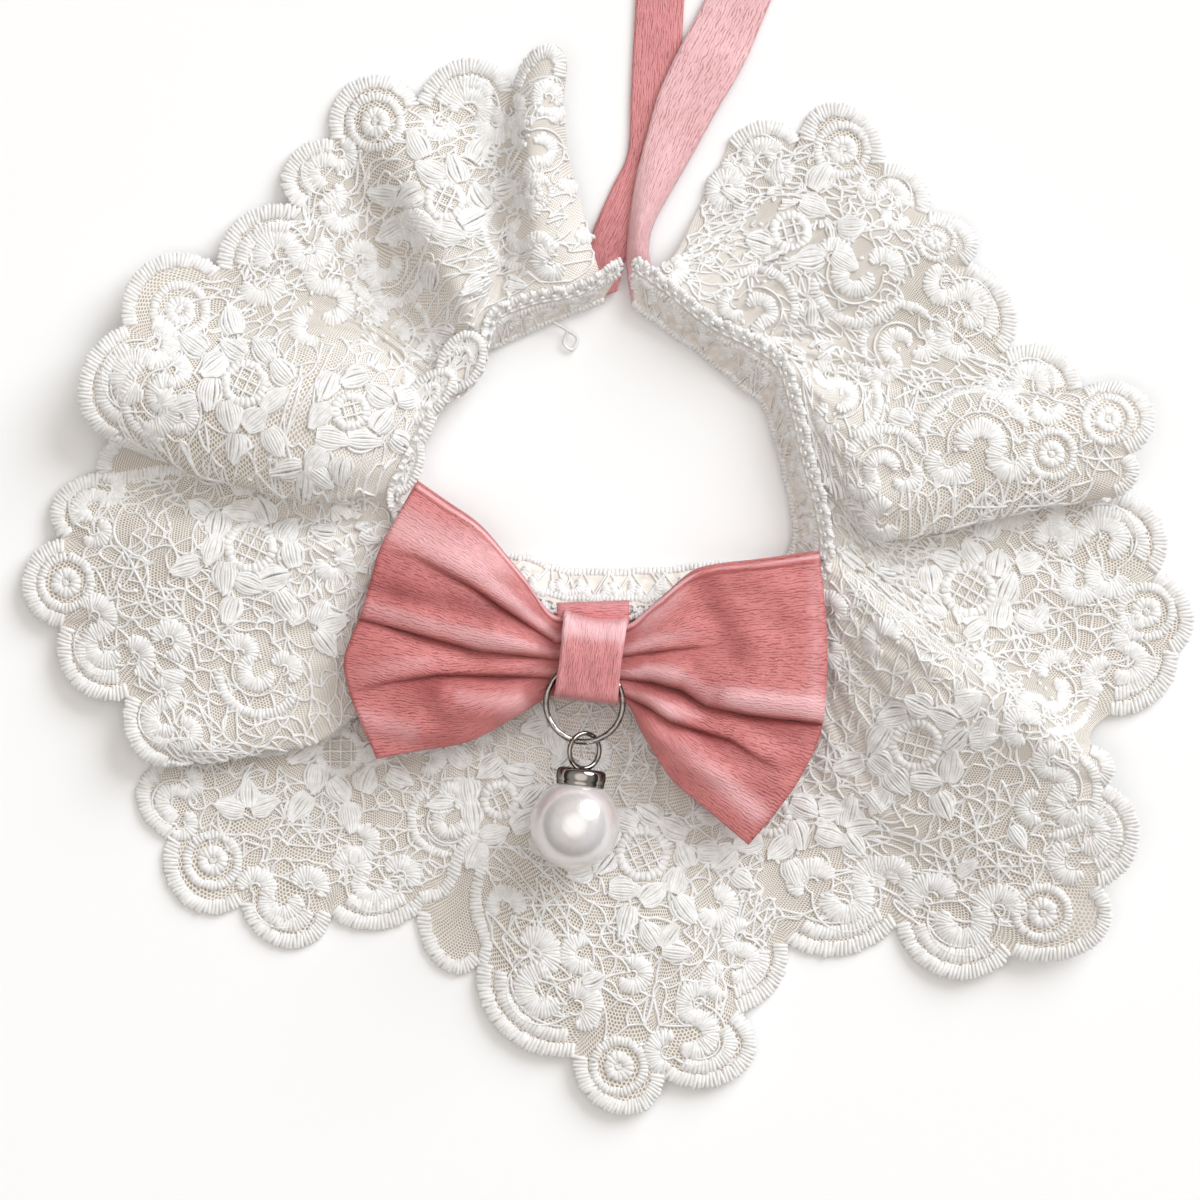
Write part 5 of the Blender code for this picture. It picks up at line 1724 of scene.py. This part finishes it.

# broad soft swells and hollows of the wings, with painted highlight on the swells and painted shade
# in the hollows
LEFT_SWELLS_AND_SHADE = (
    # first_x, first_y, last_x, last_y, reach, how much it stands out and is painted lighter (below
    # 0 it sinks and is painted darker)
    (-44.0, 17.0, -20.0, 7.5, 4.4, 0.6),
    (-28.0, -18.8, -17.0, -19.6, 3.0, 0.85),
    (-34.0, -18.4, -30.4, -25.6, 3.2, -0.5),
    (-44.0, -8.0, -36.0, -10.0, 3.0, 0.3),
    (-44.0, 3.0, -24.0, -2.4, 3.6, -0.5),
    (-50.0, -22.0, -38.0, -26.0, 3.0, 0.5),
    (-40.0, 1.0, -30.0, -4.0, 2.6, -0.3),
)
RIGHT_SWELLS_AND_SHADE = (
    # first_x, first_y, last_x, last_y, reach, how much it stands out and is painted lighter (below
    # 0 it sinks and is painted darker)
    (20.2, 5.6, 28.0, -11.2, 3.6, -0.6),
    (17.8, -13.6, 23.2, -18.4, 2.8, -0.35),
    (8.6, -4.0, 16.6, 3.6, 3.2, 0.6),
    (42.4, 8.0, 42.6, -22.0, 1.8, 0.35),
    (9.0, -12.8, 16.0, -12.6, 2.0, 0.4),
    (26.0, -19.6, 40.0, -20.8, 1.8, 0.3),
    (12.0, -24.0, 31.0, -42.0, 2.8, 0.7),
    (29.0, 4.0, 37.0, -4.0, 4.0, -0.3),
)
# a wing's section from the knot to the free edge: share of the way, and how high it stands
WING_STATIONS = (0.0, 0.12, 0.32, 0.56, 0.78, 1.0)
WING_SWELL = ((0, 0.15, 0.35, 0.7, 1), (1.4, 2.8, 5.4, 5.2, 3.2))
WING_FOOT = 8.7
WRAP_REACH = 6.2
SATIN = 0.42


def creased(x, y, creases, swells_and_shade, knot_x):
    """What the creases leave of the swell, each upper pleat full to its edge over the lower, and
    painted shade below 0 in creases and hollows and a painted highlight above 0 on lips and swells."""
    keep, fold = np.ones_like(x), np.zeros_like(x)
    for line in creases:
        at, middle, lift = np.array(sorted(line)).T
        lift = np.interp(x, at, lift)
        over = y - np.interp(x, at, middle)
        wide = np.clip(0.34 * np.abs(x - knot_x) + 0.8, 1.7, 8.0)
        upper = 1 - 0.1 * lift * (1 - np.clip(over / (0.5 * wide), 0, 1)) ** 2
        lower = 1 - 0.33 * lift * (1 - np.clip(-over / (1.1 * wide), 0, 1)) ** 1.5
        t = np.clip((over + 0.3) / 0.6, 0, 1)
        t = t * t * (3 - 2 * t)
        keep *= lower * (1 - t) + upper * t
        # painted shade in the valley under each upper pleat and a dark painted line at the crease;
        # painted highlight along the upper pleat's lip
        share = np.clip(lift / 2.4, 0, 1)
        crease_shade = -share * (1 - np.clip(-over / (1.25 * wide), 0, 1)) ** 1.3
        lip_highlight = 0.8 * share * hump(over, 0.34 * wide, 0.3 * wide)
        fold += crease_shade * (1 - t) + lip_highlight * t - 0.7 * share * hump(over, -0.1, 0.45)
    # each swell or hollow raises or lowers the cloth a little and is painted lighter or darker with
    # it: painted highlight and painted shade
    for x0, y0, x1, y1, reach, strength in swells_and_shade:
        way = np.array([x1 - x0, y1 - y0])
        s = np.clip(((x - x0) * way[0] + (y - y0) * way[1]) / (way @ way), 0, 1)
        soft = strength * hump(np.hypot(x - x0 - s * way[0], y - y0 - s * way[1]), 0, reach)
        fold += soft
        keep *= 1 + 0.16 * soft
    return keep, np.clip(fold, -1, 1)


def wing_grid(table, creases, swells_and_shade, inner_x):
    """A wing's cloth: rows across the pleats, places from the knot to the free edge."""
    last = len(table) - 1
    at = np.linspace(0, last, 16 * last + 1)
    fine = catmull(table, at)
    knot, middle, end = fine[:, :3], fine[:, 3:6], fine[:, 6:]
    knot[:, 0] = inner_x
    wrap_edge = knot.copy()
    wrap_edge[:, 0] += np.sign(end[:, 0] - knot[:, 0]) * WRAP_REACH
    wrap_edge[:, 1] += (middle[:, 1] - knot[:, 1]) * 0.04
    near, far = wrap_edge * 0.55 + middle * 0.45, (middle + end) / 2
    stations = np.stack([knot, wrap_edge, near, middle, far, end], 1)
    wanted = np.linspace(0, 1, 49)
    grid = np.stack([smooth_through(WING_STATIONS, line, wanted) for line in stations])
    share = at[:, None] / last
    swell = smooth_through(*WING_SWELL, wanted)[:, 0]
    x, y = grid[:, :, 0], grid[:, :, 1]
    keep, fold = creased(x, y, creases, swells_and_shade, inner_x)
    wave = np.sin(0.34 * x + 0.5 * y + 1.6 * np.sin(0.21 * y)) * np.sin(0.4 * y - 0.17 * x)
    rise = swell * np.sin(np.pi * (0.03 + 0.94 * share)) ** 0.55 * keep
    grid[:, :, 2] = WING_FOOT + rise + 0.25 * wave
    return grid, fold


def make_wing(name, table, creases, swells_and_shade, inner_x, node):
    """One wing: its pleated front and the plain back under it, hemmed at the upper edge."""
    grid, fold = wing_grid(table, creases, swells_and_shade, inner_x)
    normal = grid_normals(grid, 1)
    if normal[..., 2].mean() < 0:
        normal = -normal
    i, j = np.meshgrid(*(np.linspace(0, 1, n) for n in grid.shape[:2]), indexing="ij")
    ripple = 0.06 * np.sin(21 * i + 5 * np.sin(3 * j)) * np.sin(9 * j + 4 * np.sin(5 * i))
    front = grid + normal * (0.3 + ripple)[:, :, None]
    back = grid - UP * 1.1
    back[:, :, 1] += 0.8 * np.clip(1 - 6 * i, 0, 1) * np.clip(j * 2, 0, 1)
    walls = thin_wall(front, SATIN, plan=grid), thin_wall(back[::2, ::2], SATIN)
    piece = skin(name, *together(walls), SATIN_ACROSS)
    from_edge = np.linalg.norm(grid - grid[:1], axis=2)
    # a painted highlight and then painted shade just inside the upper edge
    hem_highlight_and_shade = 0.9 * hump(from_edge, 0.5, 0.35) - 0.9 * hump(from_edge, 1.3, 0.35)
    fold = np.ravel(np.clip(fold + hem_highlight_and_shade, -1, 1))
    set_attribute(piece.data, "fold", np.concatenate([fold, fold, np.zeros(len(walls[1][0]))]))
    return settle(piece, "collar", "pink_satin", node)


def make_wrap():
    """The satin band that goes round the middle of the bow."""
    section = np.array(WRAP_SECTION)
    n = len(section)
    loop = np.vstack([section[-1:], section, section[:2]])
    ring = catmull(loop, np.linspace(1, n + 1, 7 * n + 1)[:-1])
    up, height = ring[:, :1], ring[:, 1:]
    across = np.linspace(-0.5, 0.5, 19)[None, :]
    x = across * WRAP_WIDTH * (1 - 0.045 * np.cos(up / 9.6 * 1.4))
    y = up * 0.79 + (2 * across) ** 2 * np.clip(up / 9 - 0.2, 0, 1)
    z = height + 0.12 * np.sin(across * 17 + up * 0.35)
    turn = math.radians(WRAP_TILT_DEG)
    sideways = x * math.cos(turn) - y * math.sin(turn) + WRAP_CENTRE[0]
    upward = x * math.sin(turn) + y * math.cos(turn) + WRAP_CENTRE[1]
    walls = thin_wall(np.stack([sideways, upward, z], 2), WRAP_CLOTH, closed=True)
    piece = skin("bow_knot_band", *walls, SATIN_ALONG)
    aside = np.abs(2 * across)
    # painted highlight at the top where the wrap turns over, painted shade across its middle,
    # painted highlight near both side edges
    fold = 0.95 * hump(up, 7.4, 2.6) - 0.35 * hump(up, -2, 5.0) * (1 - aside**6)
    fold = np.ravel(fold + 0.4 * hump(aside, 0.9, 0.06))
    set_attribute(piece.data, "fold", np.concatenate([fold, fold]))
    return settle(piece, "collar", "pink_satin", "bow_wrap")


def make_strip():
    """The end of the knot's ribbon that shows above the wings."""
    s, t = np.meshgrid(np.linspace(-1, 1, 15), np.linspace(0, 1, 9), indexing="ij")
    z = 9.0 + 1.2 * np.sin(2.2 * t**0.4) - 1.6 * t + 0.1 * np.sin(4 * s)
    grid = np.stack([-1.4 + 7.2 * s, -0.4 - 8.0 * t + 0.25 * s, z], 2)
    piece = skin("knot_ribbon_end", *thin_wall(grid, 0.45), SATIN_ALONG)
    return settle(piece, "collar", "pink_satin")


def make_tie(name, table, node, finish, slot):
    """One ribbon tie, arched across its width."""
    last = len(table) - 1
    rows = catmull(table, np.linspace(0, last, 16 * last + 1))
    t = np.linspace(0, 1, 17)[None, :]
    left, right = rows[:, None, :2], rows[:, None, 2:4]
    flat = left + (right - left) * t[:, :, None]
    rise = np.maximum(rows[:, 4:5], 0.5) + rows[:, 5:] * 4 * t * (1 - t)
    grid = np.concatenate([flat, np.maximum(rise, LOWEST_TIE)[:, :, None]], 2)
    piece = skin(name, *thin_wall(grid, 0.5), finish)
    return settle(piece, "collar", slot, node)


make_lace()
make_band()
left_wing = make_wing("bow_wing_left", LEFT_WING, LEFT_CREASES, LEFT_SWELLS_AND_SHADE, -2.4, "bow_left")
right_wing = make_wing("bow_wing_right", RIGHT_WING, RIGHT_CREASES, RIGHT_SWELLS_AND_SHADE, -1.4, "bow_right")
knot = make_wrap()
strip = make_strip()
left_tie = make_tie("ribbon_tie_left", LEFT_TIE, "tie_left", SATIN_ALONG, "pink_satin")
right_tie = make_tie("ribbon_tie_right", RIGHT_TIE, "tie_right", LIGHT_SATIN, "light_pink_satin")


# ---------------------------------------------------------------- the pendant and the ring

# half the pearl's cap in section: distance from the axis, distance from the pearl's centre
CAP_SECTION = (
    (3.9, 7.8),
    (4.4, 7.7),
    (4.68, 7.85),
    (4.8, 8.2),
    (4.72, 8.45),
    (4.84, 8.7),
    (4.93, 9.3),
    (4.93, 9.9),
    (4.84, 10.5),
    (4.6, 10.9),
    (4.2, 11.1),
    (3.4, 11.18),
    (1.8, 11.2),
    (0.4, 11.2),
)
LINK_RADIUS = 3.5
LINK_WIRE = 0.5
LINK_TILT_DEG = 33


def middle_of(node):
    """The middle of a node of the frame, in metres."""
    return np.mean([np.array(corner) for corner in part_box(node)], 0)


def circle(count):
    """Turns all the way round, without the last, which is the first again."""
    return np.linspace(0, 2 * np.pi, count + 1)[:-1]


def make_cap():
    """The polished cap between the pearl and its loop, turned round the pendant's own axis."""
    pearl = middle_of("pearl")
    axis = unit(middle_of("pendant_cap") - pearl)
    across = unit(np.cross(axis, UP))
    upward = np.cross(across, axis)
    radius, along = np.array(CAP_SECTION).T[:, :, None] * MM
    turn = circle(72)[None, :, None]
    ring = across * np.cos(turn) + upward * np.sin(turn)
    points = pearl + axis * along[..., None] + ring * radius[..., None]
    rows, columns = points.shape[:2]
    faces = quads(rows, columns, (False, True))
    flat_ends = [tuple(range(columns))[::-1], tuple(range((rows - 1) * columns, rows * columns))]
    mesh = new_mesh("pearl_cap", points.reshape(-1, 3), faces=faces + flat_ends)
    mesh.polygons.foreach_set("use_smooth", [True] * len(faces) + [False] * len(flat_ends))
    mesh.materials.append(STEEL)
    settle(add_object("pearl_cap", mesh), "pendant", "polished_steel", "pendant_cap")


def make_link():
    """The small round link that joins the cap to the ring, turned nearly flat."""
    middle = middle_of("pendant_loop")
    down = unit((middle_of("pearl") - middle) * np.array([1, 1, 0]))
    tilt = math.radians(LINK_TILT_DEG)
    right = np.array([-down[1], down[0], 0.0]) * math.cos(tilt) - UP * math.sin(tilt)
    u, v = (w[..., None] for w in np.meshgrid(circle(64), circle(16), indexing="ij"))
    away = (np.cos(u) * right + np.sin(u) * down) * (LINK_RADIUS + LINK_WIRE * np.cos(v))
    points = middle + (away + np.cross(right, down) * LINK_WIRE * np.sin(v)) * MM
    faces = quads(64, 16, (True, True), turned=True)
    mesh = new_mesh("pendant_link", points.reshape(-1, 3), faces=faces)
    mesh.shade_smooth()
    mesh.materials.append(STEEL)
    settle(add_object("pendant_link", mesh), "pendant", "polished_steel", "pendant_loop")


make_cap()
make_link()
for node, finish, smoothing in (("ring", STEEL, 1), ("pearl", PEARL, 2)):
    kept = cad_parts[node]
    for slot in kept.material_slots:
        slot.material = finish
    kept.modifiers.new("welded", "WELD").merge_threshold = 1e-6
    finer = kept.modifiers.new("finer", "SUBSURF")
    finer.levels = finer.render_levels = smoothing


# ---------------------------------------------------------------- table, light and camera

CENTRE = SHIFT * MM
TABLE_REACH = 3.0
TABLE_DROP = 0.0002
CAMERA_HEIGHT = 1.6

corners = [(x * TABLE_REACH, y * TABLE_REACH, 0) for x, y in ((-1, -1), (1, -1), (1, 1), (-1, 1))]
table = add_object("table_top", new_mesh("table_top", corners, faces=[(0, 1, 2, 3)]))
table.data.materials.append(Finish("table_top", Roughness=0.9, Base_Color=(0.96,) * 3).material)
table.location = (CENTRE[0], CENTRE[1], -TABLE_DROP)


def lamp(name, place, size, power, colour):
    """A round area light that looks at the collar's middle."""
    light = bpy.data.lights.new(name, "AREA")
    light.shape, light.size, light.energy, light.color = "DISK", size, power, colour
    holder = add_object(name, light)
    holder.location = place
    aim = Vector((CENTRE[0], CENTRE[1], 0.0)) - Vector(place)
    holder.rotation_euler = aim.to_track_quat("-Z", "Y").to_euler()


lamp("window", (4.8, 4.8, 4.24), 6.4, 590.0, (0.92, 0.965, 1.0))
lamp("bounce", (-2.4, -0.9, 3.0), 4.8, 7.0, (1.0, 0.95, 0.92))

# the room's brightness by height: the floor round the table, dark walls and a light ceiling
world = bpy.data.worlds.new("soft_room")
world.use_nodes = True
bpy.context.scene.world = world
room = Nodes(world.node_tree)
up = room.apart(room.node("ShaderNodeTexCoord").outputs["Generated"])[2]
shade = room.mix(up.band(0.8, 0.97), (0.8, 0.755, 0.715), (2.8, 2.68, 2.58))
shade = room.mix(up.band(0.25, 0.66), (0.12, 0.11, 0.1), shade)
shade = room.mix(up.band(0.01, 0.05), (1.6, 1.56, 1.52), shade)
sky = world.node_tree.nodes["Background"]
sky.inputs["Strength"].default_value = 0.58
world.node_tree.links.new(shade, sky.inputs["Color"])

lens = bpy.data.cameras.new("overhead")
lens.lens, lens.sensor_width, lens.clip_end = 240.0, 36.0, 10.0
camera = add_object("overhead", lens)
camera.location = (CENTRE[0], CENTRE[1], CAMERA_HEIGHT)
bpy.context.scene.camera = camera
bpy.context.scene.view_settings.view_transform = "Standard"
